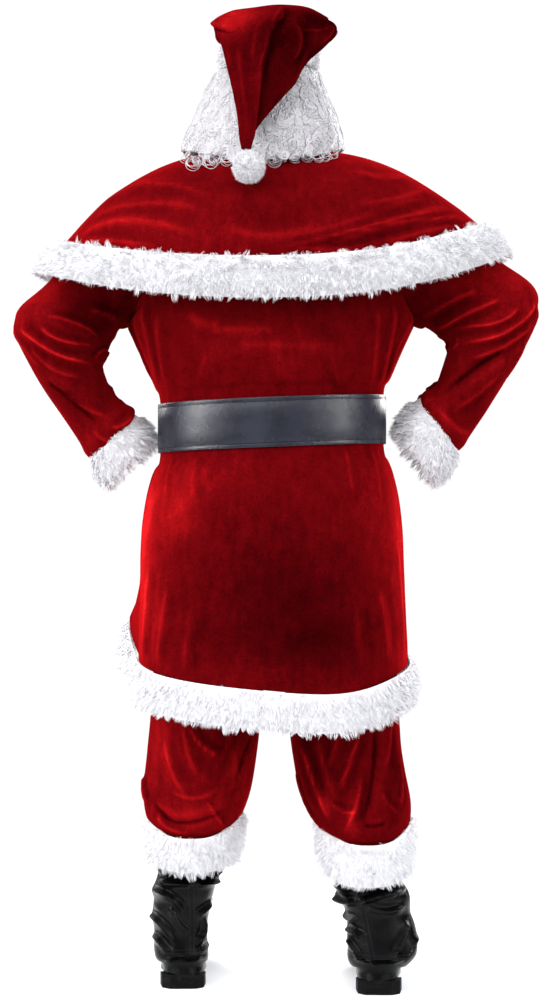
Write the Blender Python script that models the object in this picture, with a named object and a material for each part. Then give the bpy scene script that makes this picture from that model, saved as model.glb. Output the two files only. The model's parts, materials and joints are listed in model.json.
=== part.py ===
"""A Santa suit, worn with hands on hips: hat, wig, cape, coat, belt, trousers and boots, with no wearer.

Heights are above the floor that the soles touch. The front of the suit faces -Y and the wearer's left is +X.
The origin is the middle of the neck, where the wearer's shoulders carry the suit.
"""

import math
from collections import namedtuple

import bmesh
import bpy
from mathutils import Vector

# Driving dimensions, in metres.
NECK_HEIGHT = 1.52
VELVET = 0.002
LEATHERETTE = 0.002
SEAM_GAP = 0.0004
TRIM_GAP = 0.0014
LIP_GAP = 0.0018
LIP_HEIGHT = 0.003
HEM_PILE = 0.020
HEM_TRIM_HEIGHT = 0.078
CAPE_TRIM_HEIGHT = 0.084
CUFF_LENGTH = {"left": 0.066, "right": 0.082}
WAIST_HEIGHT = 1.052
BELT_WIDTH = 0.090
BELT_THICKNESS = 0.003
POMPOM_RADIUS = 0.031
SOLE_THICKNESS = 0.008
HEEL_HEIGHT = 0.022

# How round the body's sections are: 1 is an ellipse, less is squarer.
BODY_ROUNDNESS = 0.88
BACK_COLUMNS = 14
FRONT_COLUMNS = 7

Finish = namedtuple("Finish", "color roughness metallic")
FINISHES = {
    "velvet": Finish((0.42, 0.006, 0.012), 0.85, 0.0),
    "plush": Finish((0.86, 0.87, 0.90), 0.95, 0.0),
    "curls": Finish((0.80, 0.80, 0.82), 0.6, 0.0),
    "net": Finish((0.72, 0.70, 0.68), 0.9, 0.0),
    "leatherette": Finish((0.018, 0.018, 0.02), 0.35, 0.0),
    "gilt": Finish((0.83, 0.62, 0.25), 0.3, 1.0),
    "rubber": Finish((0.012, 0.012, 0.013), 0.6, 0.0),
}


def clear_scene():
    for obj in list(bpy.data.objects):
        bpy.data.objects.remove(obj, do_unlink=True)


def finish_material(slot):
    material = bpy.data.materials.get(slot) or bpy.data.materials.new(slot)
    material.use_nodes = True
    shader = material.node_tree.nodes["Principled BSDF"]
    look = FINISHES[slot]
    shader.inputs["Base Color"].default_value = (*look.color, 1.0)
    shader.inputs["Roughness"].default_value = look.roughness
    shader.inputs["Metallic"].default_value = look.metallic
    return material


def at(x, y, height):
    """A point given by its height above the floor."""
    return Vector((x, y, height - NECK_HEIGHT))


def smooth_step(low, high, value):
    share = min(1.0, max(0.0, (value - low) / (high - low)))
    return share * share * (3.0 - 2.0 * share)


def bump(value, centre, width):
    """1 at the centre, falling smoothly to nothing about two widths away."""
    return math.exp(-(((value - centre) / width) ** 2))


def read(table, key):
    """The table's row at a value of its first column, on smooth curves through its rows."""
    rows = [tuple(row) for row in table]
    key = min(max(key, rows[0][0]), rows[-1][0])
    last = len(rows) - 2
    place = next((i for i in range(last) if key < rows[i + 1][0]), last)
    low, high = rows[place], rows[place + 1]
    before, after = rows[max(place - 1, 0)], rows[min(place + 2, len(rows) - 1)]
    span = high[0] - low[0]
    t = (key - low[0]) / span
    found = [key]
    for column in range(1, len(low)):
        start = (high[column] - before[column]) / (high[0] - before[0]) * span
        end = (after[column] - low[column]) / (after[0] - low[0]) * span
        found.append(
            (2 * t**3 - 3 * t**2 + 1) * low[column]
            + (t**3 - 2 * t**2 + t) * start
            + (3 * t**2 - 2 * t**3) * high[column]
            + (t**3 - t**2) * end
        )
    return type(table[0])(*found)


def spread(low, high, steps):
    """steps + 1 values from low to high."""
    return [low + (high - low) * i / steps for i in range(steps + 1)]


def signed_power(value, power):
    return math.copysign(abs(value) ** power, value)


def make_object(name, bm, slot):
    mesh = bpy.data.meshes.new(name)
    bm.to_mesh(mesh)
    bm.free()
    mesh.shade_smooth()
    mesh.set_sharp_from_angle(angle=math.radians(50))
    obj = bpy.data.objects.new(name, mesh)
    obj.data.materials.append(finish_material(slot))
    bpy.context.scene.collection.objects.link(obj)
    return obj


def add_thickness(obj, thickness):
    wall = obj.modifiers.new("thickness", "SOLIDIFY")
    wall.thickness = thickness
    wall.offset = -1.0
    wall.use_even_offset = True
    wall.use_rim = True
    return obj


def cloth(name, rows, slot="velvet", wraps=False, thickness=VELVET):
    """A panel through rows of points, or a tube if it wraps, thickened towards the rows' middles."""
    bm = bmesh.new()
    grid = [[bm.verts.new(point) for point in row] for row in rows]
    outward = 0.0
    for low, high in zip(grid, grid[1:]):
        middle = sum((v.co for v in low), Vector()) / len(low)
        for i in range(len(low) if wraps else len(low) - 1):
            j = (i + 1) % len(low)
            face = bm.faces.new((low[i], low[j], high[j], high[i]))
            face.normal_update()
            outward += face.normal.dot(face.calc_center_median() - middle) * face.calc_area()
    if outward < 0:
        bmesh.ops.reverse_faces(bm, faces=bm.faces)
    return add_thickness(make_object(name, bm, slot), thickness)


def loft(name, sections, slot, wraps=False):
    """A solid through closed sections, joined end to end if it wraps and capped if it doesn't."""
    bm = bmesh.new()
    loops = [[bm.verts.new(point) for point in section] for section in sections]
    pairs = list(zip(loops, loops[1:]))
    if wraps:
        pairs.append((loops[-1], loops[0]))
    else:
        bm.faces.new(loops[0])
        bm.faces.new(loops[-1])
    for low, high in pairs:
        for i in range(len(low)):
            j = (i + 1) % len(low)
            bm.faces.new((low[i], low[j], high[j], high[i]))
    bmesh.ops.recalc_face_normals(bm, faces=bm.faces)
    return make_object(name, bm, slot)


def oval(inner, outer, across, half, count):
    """A ring of points: one axis runs from inner to outer, the other is half long each way along across.

    The first point is the outer one, and the ring passes the inner one half way round.
    """
    centre = (inner + outer) / 2
    long = (outer - inner) / 2
    ring = []
    for i in range(count):
        turn = 2 * math.pi * i / count
        ring.append(centre + long * math.cos(turn) + across * (half * math.sin(turn)))
    return ring


# ---------------------------------------------------------------------------------------------------------
# Coat: rings round the body from the hem to the neck.

# height where the body faces front and back; half_width; back and front: depth from the side seams;
# lift: how much higher the ring is at the sides; tilt: rise per metre towards +X; hem: share of the hem's wave.
Ring = namedtuple("Ring", "key height half_width back front lift tilt hem")
COAT_RINGS = [
    Ring(0.0, 0.600, 0.2490, 0.188, 0.205, 0.0, 0.0, 1.00),
    Ring(1.0, 0.665, 0.2480, 0.188, 0.206, 0.0, 0.0, 0.80),
    Ring(2.0, 0.740, 0.2465, 0.187, 0.207, 0.0, 0.0, 0.56),
    Ring(3.0, 0.815, 0.2455, 0.184, 0.207, 0.0, 0.0, 0.34),
    Ring(4.0, 0.880, 0.2410, 0.178, 0.206, 0.0, -0.01, 0.16),
    Ring(5.0, 0.935, 0.2320, 0.169, 0.203, 0.0, -0.02, 0.05),
    Ring(6.0, 0.975, 0.2190, 0.158, 0.198, 0.0, -0.03, 0.0),
    Ring(7.0, 1.003, 0.2085, 0.149, 0.189, 0.0, -0.04, 0.0),
    Ring(8.0, 1.101, 0.2085, 0.149, 0.189, 0.0, -0.04, 0.0),
    Ring(9.0, 1.128, 0.2200, 0.158, 0.193, 0.0, -0.03, 0.0),
    Ring(10.0, 1.172, 0.2370, 0.164, 0.192, 0.0, -0.01, 0.0),
    Ring(11.0, 1.235, 0.2640, 0.166, 0.186, 0.0, 0.0, 0.0),
    Ring(12.0, 1.315, 0.2480, 0.163, 0.172, 0.012, 0.0, 0.0),
    Ring(13.0, 1.395, 0.2260, 0.155, 0.155, 0.024, 0.0, 0.0),
    Ring(14.0, 1.450, 0.1980, 0.137, 0.138, 0.036, 0.0, 0.0),
    Ring(15.0, 1.495, 0.1400, 0.108, 0.113, 0.028, 0.0, 0.0),
    Ring(16.0, 1.512, 0.0880, 0.080, 0.088, 0.020, 0.0, 0.0),
]
BELT_LOW_KEY = 7.0
BELT_HIGH_KEY = 8.0
ARMPIT_KEY = 11.0
SHOULDER_KEY = 14.0
NECK_KEY = 16.0
ARMHOLE_HALF_ANGLE = 34.0

# angle: 0 is the wearer's left side, 90 the back; rise of the hem there; flare: how far it swings out.
HemWave = namedtuple("HemWave", "angle rise flare")
HEM_WAVES = [
    HemWave(0.0, 0.022, 0.000),
    HemWave(35.0, -0.002, 0.004),
    HemWave(75.0, -0.022, 0.006),
    HemWave(115.0, -0.036, 0.006),
    HemWave(150.0, -0.010, 0.002),
    HemWave(180.0, 0.010, 0.006),
    HemWave(220.0, 0.030, 0.014),
    HemWave(270.0, 0.045, 0.012),
    HemWave(305.0, 0.070, 0.026),
    HemWave(330.0, 0.094, 0.052),
    HemWave(348.0, 0.052, 0.022),
    HemWave(360.0, 0.022, 0.000),
]


def coat_point(key, angle, out=0.0):
    """A point of the coat's outer face, or that far outside it."""
    ring = read(COAT_RINGS, key)
    wave = read(HEM_WAVES, angle % 360.0)
    turn = math.radians(angle)
    side, depth = math.cos(turn), math.sin(turn)
    reach = out + wave.flare * ring.hem**2
    half_depth = ring.back if depth > 0 else ring.front
    x = (ring.half_width + reach) * signed_power(side, BODY_ROUNDNESS)
    y = (half_depth + reach) * signed_power(depth, BODY_ROUNDNESS)
    height = ring.height + ring.lift * side**2 + ring.tilt * x + ring.hem * wave.rise
    return at(x, y, height)


def armhole_angle(key):
    """How far the panels' edges stand away from the side seam at a ring, in degrees."""
    if not ARMPIT_KEY < key < SHOULDER_KEY:
        return 0.0
    share = (key - ARMPIT_KEY) / (SHOULDER_KEY - ARMPIT_KEY)
    return ARMHOLE_HALF_ANGLE * math.sin(math.pi * share) ** 0.7


SLEEVE_COLUMNS = 14
COAT_KEYS = [0.0, 1.1, 2.3, 3.4, 4.4, 5.3, 6.2, 7.0, 8.0, 8.8, 9.8]
COAT_KEYS += spread(ARMPIT_KEY, SHOULDER_KEY, SLEEVE_COLUMNS // 2) + [15.0, NECK_KEY]
SIDE_SEAM = 0.0012
FRONT_OPENING = 0.0008


def coat_panel(name, first_angle, last_angle, columns):
    """A panel between two edges: one on the side's line has an armhole and stops short of the seam."""
    rows = []
    facing = 1.0 if first_angle < 180 else -1.0
    for key in COAT_KEYS:
        hole = armhole_angle(key)
        low = first_angle + (hole if first_angle % 180 == 0 else 0.0)
        high = last_angle - (hole if last_angle % 180 == 0 else 0.0)
        row = [coat_point(key, angle) for angle in spread(low, high, columns)]
        for point in (row[0], row[-1]):
            if abs(point.y) < SIDE_SEAM / 2:
                point.y = facing * SIDE_SEAM / 2
            if abs(point.x) < FRONT_OPENING / 2:
                point.x = math.copysign(FRONT_OPENING / 2, row[1 if point is row[0] else -2].x)
        rows.append(row)
    return cloth(name, rows)


def make_coat():
    coat_panel("coat_back", 0, 180, BACK_COLUMNS)
    coat_panel("coat_front_right", 180, 270, FRONT_COLUMNS)
    coat_panel("coat_front_left", 270, 360, FRONT_COLUMNS)


def band_section(edge, out, down, height, pile, inset=VELVET):
    """A fur band's section under a cloth's edge, with a low lip outside it. out and down are unit vectors."""
    shares = [
        (-inset, TRIM_GAP),
        (LIP_GAP, TRIM_GAP),
        (LIP_GAP, -LIP_HEIGHT),
        (pile * 0.60, -LIP_HEIGHT * 0.3),
        (pile, height * 0.30),
        (pile, height * 0.66),
        (pile * 0.45, height * 0.96),
        (-inset, height),
    ]
    return [edge + out * aside + down * below for aside, below in shares]


def make_coat_hem_trim():
    angles = spread(-90, 270, BACK_COLUMNS + 2 * FRONT_COLUMNS)
    sections = []
    for angle in angles:
        edge = coat_point(0.0, angle)
        if angle % 360 == 270:
            edge.x = FRONT_OPENING / 2 * (1 if angle < 0 else -1)
        out = (coat_point(0.0, angle, 0.01) - coat_point(0.0, angle)).normalized()
        down = (coat_point(0.0, angle) - coat_point(0.5, angle)).normalized()
        sections.append(band_section(edge, out, down, HEM_TRIM_HEIGHT, HEM_PILE))
    loft("coat_hem_trim", sections, "plush")


# ---------------------------------------------------------------------------------------------------------
# Sleeves: ovals between the line of the arm's inner edge and the line of its outer edge, seen from behind.

# side: 1 is the wearer's left. The armhole end is made from the coat, so the first rows lead away from it.
Sleeve = namedtuple("Sleeve", "key inner_x inner_z outer_x outer_z half_depth middle_y")
SLEEVES = {
    "left": [
        Sleeve(0.00, 0.272, 1.228, 0.222, 1.487, 0.084, 0.000),
        Sleeve(0.10, 0.288, 1.205, 0.290, 1.430, 0.080, 0.004),
        Sleeve(0.22, 0.304, 1.186, 0.370, 1.366, 0.076, 0.010),
        Sleeve(0.34, 0.310, 1.174, 0.428, 1.304, 0.073, 0.016),
        Sleeve(0.42, 0.312, 1.167, 0.463, 1.276, 0.071, 0.020),
        Sleeve(0.50, 0.313, 1.158, 0.482, 1.240, 0.069, 0.022),
        Sleeve(0.58, 0.311, 1.146, 0.470, 1.199, 0.067, 0.020),
        Sleeve(0.70, 0.300, 1.118, 0.431, 1.127, 0.064, 0.016),
        Sleeve(0.84, 0.281, 1.092, 0.386, 1.061, 0.061, 0.010),
        Sleeve(0.94, 0.257, 1.080, 0.354, 1.012, 0.059, 0.006),
        Sleeve(1.00, 0.258, 1.067, 0.340, 0.990, 0.054, 0.004),
    ],
    "right": [
        Sleeve(0.00, 0.276, 1.230, 0.222, 1.487, 0.084, 0.000),
        Sleeve(0.10, 0.294, 1.222, 0.292, 1.440, 0.080, 0.004),
        Sleeve(0.22, 0.311, 1.213, 0.368, 1.396, 0.076, 0.010),
        Sleeve(0.34, 0.322, 1.206, 0.432, 1.348, 0.073, 0.016),
        Sleeve(0.42, 0.327, 1.199, 0.480, 1.315, 0.071, 0.020),
        Sleeve(0.50, 0.326, 1.189, 0.499, 1.276, 0.069, 0.022),
        Sleeve(0.58, 0.322, 1.176, 0.490, 1.234, 0.067, 0.020),
        Sleeve(0.70, 0.314, 1.150, 0.456, 1.168, 0.064, 0.016),
        Sleeve(0.84, 0.302, 1.124, 0.404, 1.083, 0.061, 0.010),
        Sleeve(0.94, 0.284, 1.112, 0.367, 1.028, 0.059, 0.006),
        Sleeve(1.00, 0.276, 1.098, 0.349, 1.004, 0.054, 0.004),
    ],
}
SIDES = {"left": 1.0, "right": -1.0}
SLEEVE_KEYS = [0.07, 0.16, 0.25, 0.32, 0.38, 0.43, 0.48, 0.53, 0.58, 0.64, 0.72, 0.81, 0.92, 1.0]

# Folds that leave the crook of the elbow: at is where each crosses the sleeve's outer edge, along the sleeve.
ElbowFold = namedtuple("ElbowFold", "at depth width")
ELBOW_FOLDS = [
    ElbowFold(0.30, 0.0060, 0.030),
    ElbowFold(0.42, 0.0070, 0.030),
    ElbowFold(0.55, 0.0065, 0.034),
    ElbowFold(0.76, 0.0045, 0.045),
]
CROOK = 0.49


def elbow_relief(key, turn):
    """How far the folds lift the sleeve, at a place along it and round it. turn is 0 at its outer edge."""
    inward = (1.0 - math.cos(turn)) / 2
    faces = math.sin(turn) ** 2
    lift = 0.0
    for fold in ELBOW_FOLDS:
        line = fold.at + (CROOK - fold.at) * inward
        lift += fold.depth * bump(key, line, fold.width) - 0.4 * fold.depth * bump(key, line + 0.05, fold.width)
    return lift * faces


def armhole_loop(side, out):
    """The coat's armhole edge as a ring that starts at the shoulder, goes down the back and up the front."""
    half = SLEEVE_COLUMNS // 2
    ring = []
    for i in range(SLEEVE_COLUMNS):
        down = 1.0 - abs(i - half) / half
        key = SHOULDER_KEY - (SHOULDER_KEY - ARMPIT_KEY) * down
        angle = armhole_angle(key) * (1 if i < half else -1)
        point = coat_point(key, angle if side > 0 else 180 - angle)
        ring.append(point + Vector((side * out, 0, 0)))
    return ring


def sleeve_ring(name, key, relief=True):
    row = read(SLEEVES[name], key)
    side = SIDES[name]
    inner = at(side * row.inner_x, row.middle_y, row.inner_z)
    outer = at(side * row.outer_x, row.middle_y, row.outer_z)
    ring = oval(inner, outer, Vector((0, 1, 0)), row.half_depth, SLEEVE_COLUMNS)
    if not relief:
        return ring
    centre = (inner + outer) / 2
    for i, point in enumerate(ring):
        turn = 2 * math.pi * i / SLEEVE_COLUMNS
        ring[i] = point + (point - centre).normalized() * elbow_relief(key, turn)
    return ring


def make_sleeve(name):
    """The armhole ring blends into ovals over the first stretch of the upper arm."""
    side = SIDES[name]
    start = armhole_loop(side, SEAM_GAP + 0.0006)
    rows = [start]
    for key in SLEEVE_KEYS:
        keep = 1.0 - smooth_step(0.0, 0.24, key)
        shift = side * 0.30 * key
        ring = sleeve_ring(name, key)
        rows.append([a.lerp(b + Vector((shift, 0, 0)), keep) for a, b in zip(ring, start)])
    cloth(f"sleeve_{name}", rows, wraps=True)


CUFF_PILE = 0.016
CUFF_GAP = 0.0013


def make_cuff(name):
    """A fur tube that goes on from the sleeve's end in the same direction."""
    end = sleeve_ring(name, 1.0, relief=False)
    before = sleeve_ring(name, 0.80, relief=False)
    middle = sum(end, Vector()) / len(end)
    along = (middle - sum(before, Vector()) / len(before)).normalized()
    length = CUFF_LENGTH[name]
    # rows of the section: how far along the cuff, and how far outside the sleeve's end
    profile = [
        (CUFF_GAP, -VELVET - 0.002),
        (CUFF_GAP, CUFF_PILE * 0.35),
        (length * 0.28, CUFF_PILE * 0.9),
        (length * 0.68, CUFF_PILE),
        (length * 0.97, CUFF_PILE * 0.45),
        (length, -VELVET - 0.002),
    ]
    sections = []
    for point in end:
        out = (point - middle).normalized()
        sections.append([point + along * far + out * aside for far, aside in profile])
    loft(f"cuff_{name}", sections, "plush", wraps=True)


# ---------------------------------------------------------------------------------------------------------
# Cape: lines that run from the neck over the shoulders, the back and the chest, to the edge and on over the fur.

# key 0 is the neck and 1 the cloth's edge. side_x and side_z: the line over the shoulders; back_y, back_z and
# front_y, front_z: the lines down the back and the chest.
CapeLine = namedtuple("CapeLine", "key left_x left_z right_x right_z back_y back_z front_y front_z")
CAPE_LINES = [
    CapeLine(0.00, 0.094, 1.560, 0.094, 1.560, 0.092, 1.545, 0.098, 1.528),
    CapeLine(0.25, 0.180, 1.541, 0.178, 1.545, 0.138, 1.516, 0.142, 1.500),
    CapeLine(0.50, 0.268, 1.496, 0.264, 1.508, 0.172, 1.470, 0.174, 1.455),
    CapeLine(0.75, 0.334, 1.444, 0.330, 1.460, 0.190, 1.410, 0.196, 1.400),
    CapeLine(1.00, 0.389, 1.386, 0.387, 1.420, 0.199, 1.346, 0.210, 1.345),
    CapeLine(1.30, 0.449, 1.322, 0.446, 1.356, 0.203, 1.264, 0.216, 1.264),
]
CAPE_SQUARENESS = 0.86
CAPE_SIDE_POWER = 2.1
CAPE_OPENING_ANGLE = 2.2
CAPE_COLUMNS = 30
CAPE_KEYS = [0.0, 0.16, 0.34, 0.52, 0.68, 0.84, 1.0]

# Long soft folds: each climbs evenly from one key and angle to another, fading at its ends.
CapeFold = namedtuple("CapeFold", "key angle end_key end_angle depth")
CAPE_FOLDS = [
    CapeFold(0.70, 172.0, 1.02, 88.0, 0.0070),
    CapeFold(0.86, 176.0, 1.10, 118.0, 0.0060),
    CapeFold(0.62, 8.0, 0.98, 62.0, 0.0045),
    CapeFold(0.66, -12.0, 1.00, -62.0, 0.0050),
    CapeFold(0.70, 192.0, 1.00, 236.0, 0.0050),
]


def cape_relief(key, angle):
    """How far the folds lift the cape there."""
    lift = 0.0
    for fold in CAPE_FOLDS:
        share = (angle - fold.angle) / (fold.end_angle - fold.angle)
        fade = smooth_step(-0.15, 0.2, share) * (1 - smooth_step(0.6, 1.05, share))
        lift += fold.depth * fade * bump(key, fold.key + (fold.end_key - fold.key) * share, 0.085)
    return lift


def cape_point(key, angle):
    line = read(CAPE_LINES, key)
    turn = math.radians(angle)
    side, depth = math.cos(turn), math.sin(turn)
    x_reach, z_side = (line.left_x, line.left_z) if side > 0 else (line.right_x, line.right_z)
    y_reach, z_depth = (line.back_y, line.back_z) if depth > 0 else (line.front_y, line.front_z)
    share = abs(side) ** CAPE_SIDE_POWER
    lift = cape_relief(key, angle)
    x = x_reach * signed_power(side, CAPE_SQUARENESS) + lift * side
    y = y_reach * signed_power(depth, CAPE_SQUARENESS) + lift * depth
    return at(x, y, share * z_side + (1 - share) * z_depth + lift * 0.6)


def cape_out(key, angle):
    """The cape's outward direction there."""
    along = cape_point(min(key + 0.05, 1.3), angle) - cape_point(key - 0.05, angle)
    around = cape_point(key, angle + 2) - cape_point(key, angle - 2)
    out = along.cross(around).normalized()
    return out if out.dot(cape_point(key, angle) - at(0, 0, 1.2)) > 0 else -out


def make_cape():
    angles = spread(-90 + CAPE_OPENING_ANGLE, 270 - CAPE_OPENING_ANGLE, CAPE_COLUMNS)
    cloth("cape_cloth", [[cape_point(key, angle) for angle in angles] for key in reversed(CAPE_KEYS)])
    sections = []
    for angle in spread(-90 + CAPE_OPENING_ANGLE, 270 - CAPE_OPENING_ANGLE, CAPE_COLUMNS):
        edge = cape_point(1.0, angle)
        down = (cape_point(1.3, angle) - edge).normalized()
        out = cape_out(1.15, angle)
        out = (out - down * out.dot(down)).normalized()
        sections.append(band_section(edge, out, down, CAPE_TRIM_HEIGHT, HEM_PILE))
    loft("cape_trim", sections, "plush")


def make_cape_clasp():
    """A plain hook bar across the opening at the neck, lying on the cape."""
    bm = bmesh.new()
    bmesh.ops.create_cube(bm, size=1.0)
    middle = (cape_point(0.06, -90 - CAPE_OPENING_ANGLE) + cape_point(0.06, -90 + CAPE_OPENING_ANGLE)) / 2
    for vert in bm.verts:
        vert.co = Vector((vert.co.x * 0.030, vert.co.y * 0.003, vert.co.z * 0.009)) + middle + Vector((0, -0.0065, 0.004))
    bmesh.ops.bevel(bm, geom=list(bm.edges), offset=0.0009, segments=1, affect="EDGES")
    make_object("cape_clasp", bm, "gilt")


# ---------------------------------------------------------------------------------------------------------
# Belt.

BELT_TAIL_ANGLE = 34.0


def make_belt():
    """One strap that starts behind the buckle, goes round the waist and lies over its own start."""
    step = 180.0 / BACK_COLUMNS / 2
    first, last = -90.0 - step / 2, 270.0 + BELT_TAIL_ANGLE
    turns = int(round((last - first) / step))
    sections = []
    for angle in spread(first, last, turns):
        climb = smooth_step(248.0, 262.0, angle) * (BELT_THICKNESS + 0.0010)
        inner = 0.0016 + climb
        outer = inner + BELT_THICKNESS
        low, high = BELT_LOW_KEY, BELT_HIGH_KEY
        sections.append(
            [
                belt_point(low, angle, inner, 0.5),
                belt_point(low, angle, outer, 0.5),
                belt_point(high, angle, outer, 0.5),
                belt_point(high, angle, inner, 0.5),
            ]
        )
    loft("belt_strap", sections, "leatherette")


def belt_point(key, angle, out, share):
    """A point of the strap's edge: its lower one at the low ring's key and its upper one at the high ring's."""
    middle = coat_point(BELT_LOW_KEY, angle, out).lerp(coat_point(BELT_HIGH_KEY, angle, out), share)
    up = 1.0 if key == BELT_HIGH_KEY else -1.0
    return middle + Vector((0, 0, up * BELT_WIDTH / 2))


BUCKLE_WIDTH = 0.112
BUCKLE_HEIGHT = 0.116
BUCKLE_BAR = 0.011
BUCKLE_DEPTH = 0.005


def make_buckle():
    """A plain square frame with a pin across it, clear of the strap's front."""
    front = belt_point(BELT_LOW_KEY, 270.0, 2 * BELT_THICKNESS + 0.0034, 0.5)
    centre = Vector((0.0, front.y - BUCKLE_DEPTH / 2, WAIST_HEIGHT - NECK_HEIGHT))
    half = Vector((BUCKLE_WIDTH / 2, 0, BUCKLE_HEIGHT / 2))
    sections = []
    for corner_x, corner_z in ((-1, -1), (1, -1), (1, 1), (-1, 1)):
        outer = centre + Vector((corner_x * half.x, 0, corner_z * half.z))
        inner = outer - Vector((corner_x * BUCKLE_BAR, 0, corner_z * BUCKLE_BAR))
        deep = Vector((0, BUCKLE_DEPTH / 2, 0))
        sections.append([outer + deep, outer - deep, inner - deep, inner + deep])
    loft("belt_buckle", sections, "gilt", wraps=True)
    pin_radius = 0.0028
    pin = [
        oval(
            Vector((x, centre.y - BUCKLE_DEPTH / 2 - 0.0004 - 2 * pin_radius, centre.z)),
            Vector((x, centre.y - BUCKLE_DEPTH / 2 - 0.0004, centre.z)),
            Vector((0, 0, 1)),
            pin_radius,
            8,
        )
        for x in (-half.x + 0.002, half.x - 0.002)
    ]
    loft("belt_pin", pin, "gilt")


# ---------------------------------------------------------------------------------------------------------
# Trousers and their fur bands, boots.

Leg = namedtuple("Leg", "height middle_x middle_y half_width half_depth")
LEGS = {
    "left": [
        Leg(0.284, 0.1490, -0.022, 0.0725, 0.0725),
        Leg(0.300, 0.1480, -0.022, 0.0810, 0.0810),
        Leg(0.325, 0.1450, -0.020, 0.0900, 0.0900),
        Leg(0.366, 0.1390, -0.018, 0.0985, 0.098),
        Leg(0.424, 0.1310, -0.015, 0.1005, 0.100),
        Leg(0.526, 0.1220, -0.010, 0.1035, 0.106),
        Leg(0.640, 0.1160, -0.006, 0.1060, 0.114),
        Leg(0.740, 0.1110, -0.004, 0.1070, 0.122),
    ],
    "right": [
        Leg(0.276, 0.1755, 0.008, 0.0715, 0.0715),
        Leg(0.292, 0.1720, 0.008, 0.0810, 0.0810),
        Leg(0.318, 0.1655, 0.006, 0.0920, 0.0900),
        Leg(0.355, 0.1570, 0.004, 0.1015, 0.099),
        Leg(0.424, 0.1440, 0.002, 0.1045, 0.101),
        Leg(0.526, 0.1330, 0.000, 0.1060, 0.107),
        Leg(0.640, 0.1220, -0.002, 0.1080, 0.114),
        Leg(0.740, 0.1130, -0.004, 0.1085, 0.122),
    ],
}
Hip = namedtuple("Hip", "height half_width back front")
HIPS = [
    Hip(0.780, 0.2150, 0.130, 0.128),
    Hip(0.860, 0.2130, 0.142, 0.140),
    Hip(0.940, 0.2030, 0.138, 0.150),
    Hip(1.000, 0.1930, 0.128, 0.152),
    Hip(1.028, 0.1900, 0.125, 0.152),
]
LEG_KEYS = [0.284, 0.297, 0.316, 0.342, 0.376, 0.43, 0.51, 0.61, 0.72]
HIP_HEIGHTS = [0.78, 0.85, 0.94, 1.028]
LEG_COLUMNS = 16
LEG_FOLD_DEPTH = 0.0042
CROTCH_DROP = 0.05
CENTRE_GAP = 0.0004
WAISTBAND_HEIGHT = 0.035


def leg_relief(name, height, angle):
    """Slanting folds that the elastic's gathers send up the leg, four waves round it."""
    window = smooth_step(0.285, 0.34, height) * (1 - smooth_step(0.46, 0.66, height))
    slant = (height - 0.30) * (14.0 if name == "left" else -11.0)
    return LEG_FOLD_DEPTH * window * math.sin(4 * angle + slant) * math.sin(angle / 2)


def leg_row(name, height):
    """Once round the leg, from the inseam over the front to the inseam again."""
    row = read(LEGS[name], height)
    side = SIDES[name]
    points = []
    for turn in spread(0.3, 359.7, LEG_COLUMNS):
        angle = math.radians(turn)
        out = leg_relief(name, height, angle)
        x = row.middle_x - (row.half_width + out) * math.cos(angle)
        y = row.middle_y - (row.half_depth + out) * math.sin(angle)
        points.append(at(side * x, y, height))
    return points


def hip_row(name, height):
    """Half round the hips, from the middle of the front over the side to the middle of the back."""
    row = read(HIPS, height)
    points = []
    for turn in spread(0.0, 180.0, LEG_COLUMNS):
        angle = math.radians(turn)
        x = row.half_width * math.sin(angle) ** 0.9
        half_depth = row.front if turn < 90 else row.back
        y = -half_depth * signed_power(math.cos(angle), 0.9)
        points.append(at(SIDES[name] * (x + CENTRE_GAP), y, height))
    return points


def make_trouser_half(name):
    """A leg with half the seat. Near the crotch its edges leave the inseam and climb to front and back."""
    low = LEGS[name][0].height - LEGS["left"][0].height
    rows = [leg_row(name, key + low) for key in LEG_KEYS]
    top_leg = leg_row(name, LEG_KEYS[-1] + low)
    first_hip = hip_row(name, HIP_HEIGHTS[0])
    fork = []
    for i, (leg, hip) in enumerate(zip(top_leg, first_hip)):
        near_edge = 1.0 - min(i, LEG_COLUMNS - i) / (LEG_COLUMNS / 2)
        point = leg.lerp(hip, 0.5)
        point.z = point.z - 0.012 * near_edge
        fork.append(point)
    rows.append(fork)
    rows += [hip_row(name, height) for height in HIP_HEIGHTS]
    cloth(f"trousers_{name}", rows)


def make_waistband():
    top = HIP_HEIGHTS[-1]
    row = read(HIPS, top)
    rows = []
    for height in (top + SEAM_GAP, top + WAISTBAND_HEIGHT):
        ring = []
        for turn in spread(0.0, 360.0, 28)[:-1]:
            angle = math.radians(turn)
            x = row.half_width * signed_power(math.cos(angle), 0.9)
            half_depth = row.back if turn < 180 else row.front
            y = half_depth * signed_power(math.sin(angle), 0.9)
            ring.append(at(x, y, height))
        rows.append(ring)
    cloth("trousers_waistband", rows, wraps=True, thickness=0.003)


LEG_TRIM_DROP = {"left": 0.066, "right": 0.080}


def make_leg_trim(name):
    """A fur ring that hangs from the gathered end of the leg, just below and round it."""
    row = LEGS[name][0]
    side = SIDES[name]
    drop = LEG_TRIM_DROP[name]
    # how far below the leg's end, and how far from the leg's own line
    profile = [
        (0.0008, -0.0035),
        (0.0008, 0.0035),
        (-0.010, 0.0150),
        (-0.002, 0.0245),
        (drop * 0.32, 0.0255),
        (drop * 0.70, 0.0190),
        (drop, 0.0085),
        (drop, 0.0020),
    ]
    sections = []
    for turn in spread(0.0, 360.0, LEG_COLUMNS)[:-1]:
        angle = math.radians(turn)
        section = []
        for below, aside in profile:
            x = row.middle_x - (row.half_width + aside) * math.cos(angle)
            y = row.middle_y - (row.half_depth + aside) * math.sin(angle)
            section.append(at(side * x, y, row.height - below))
        sections.append(section)
    loft(f"leg_trim_{name}", sections, "plush", wraps=True)


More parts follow.
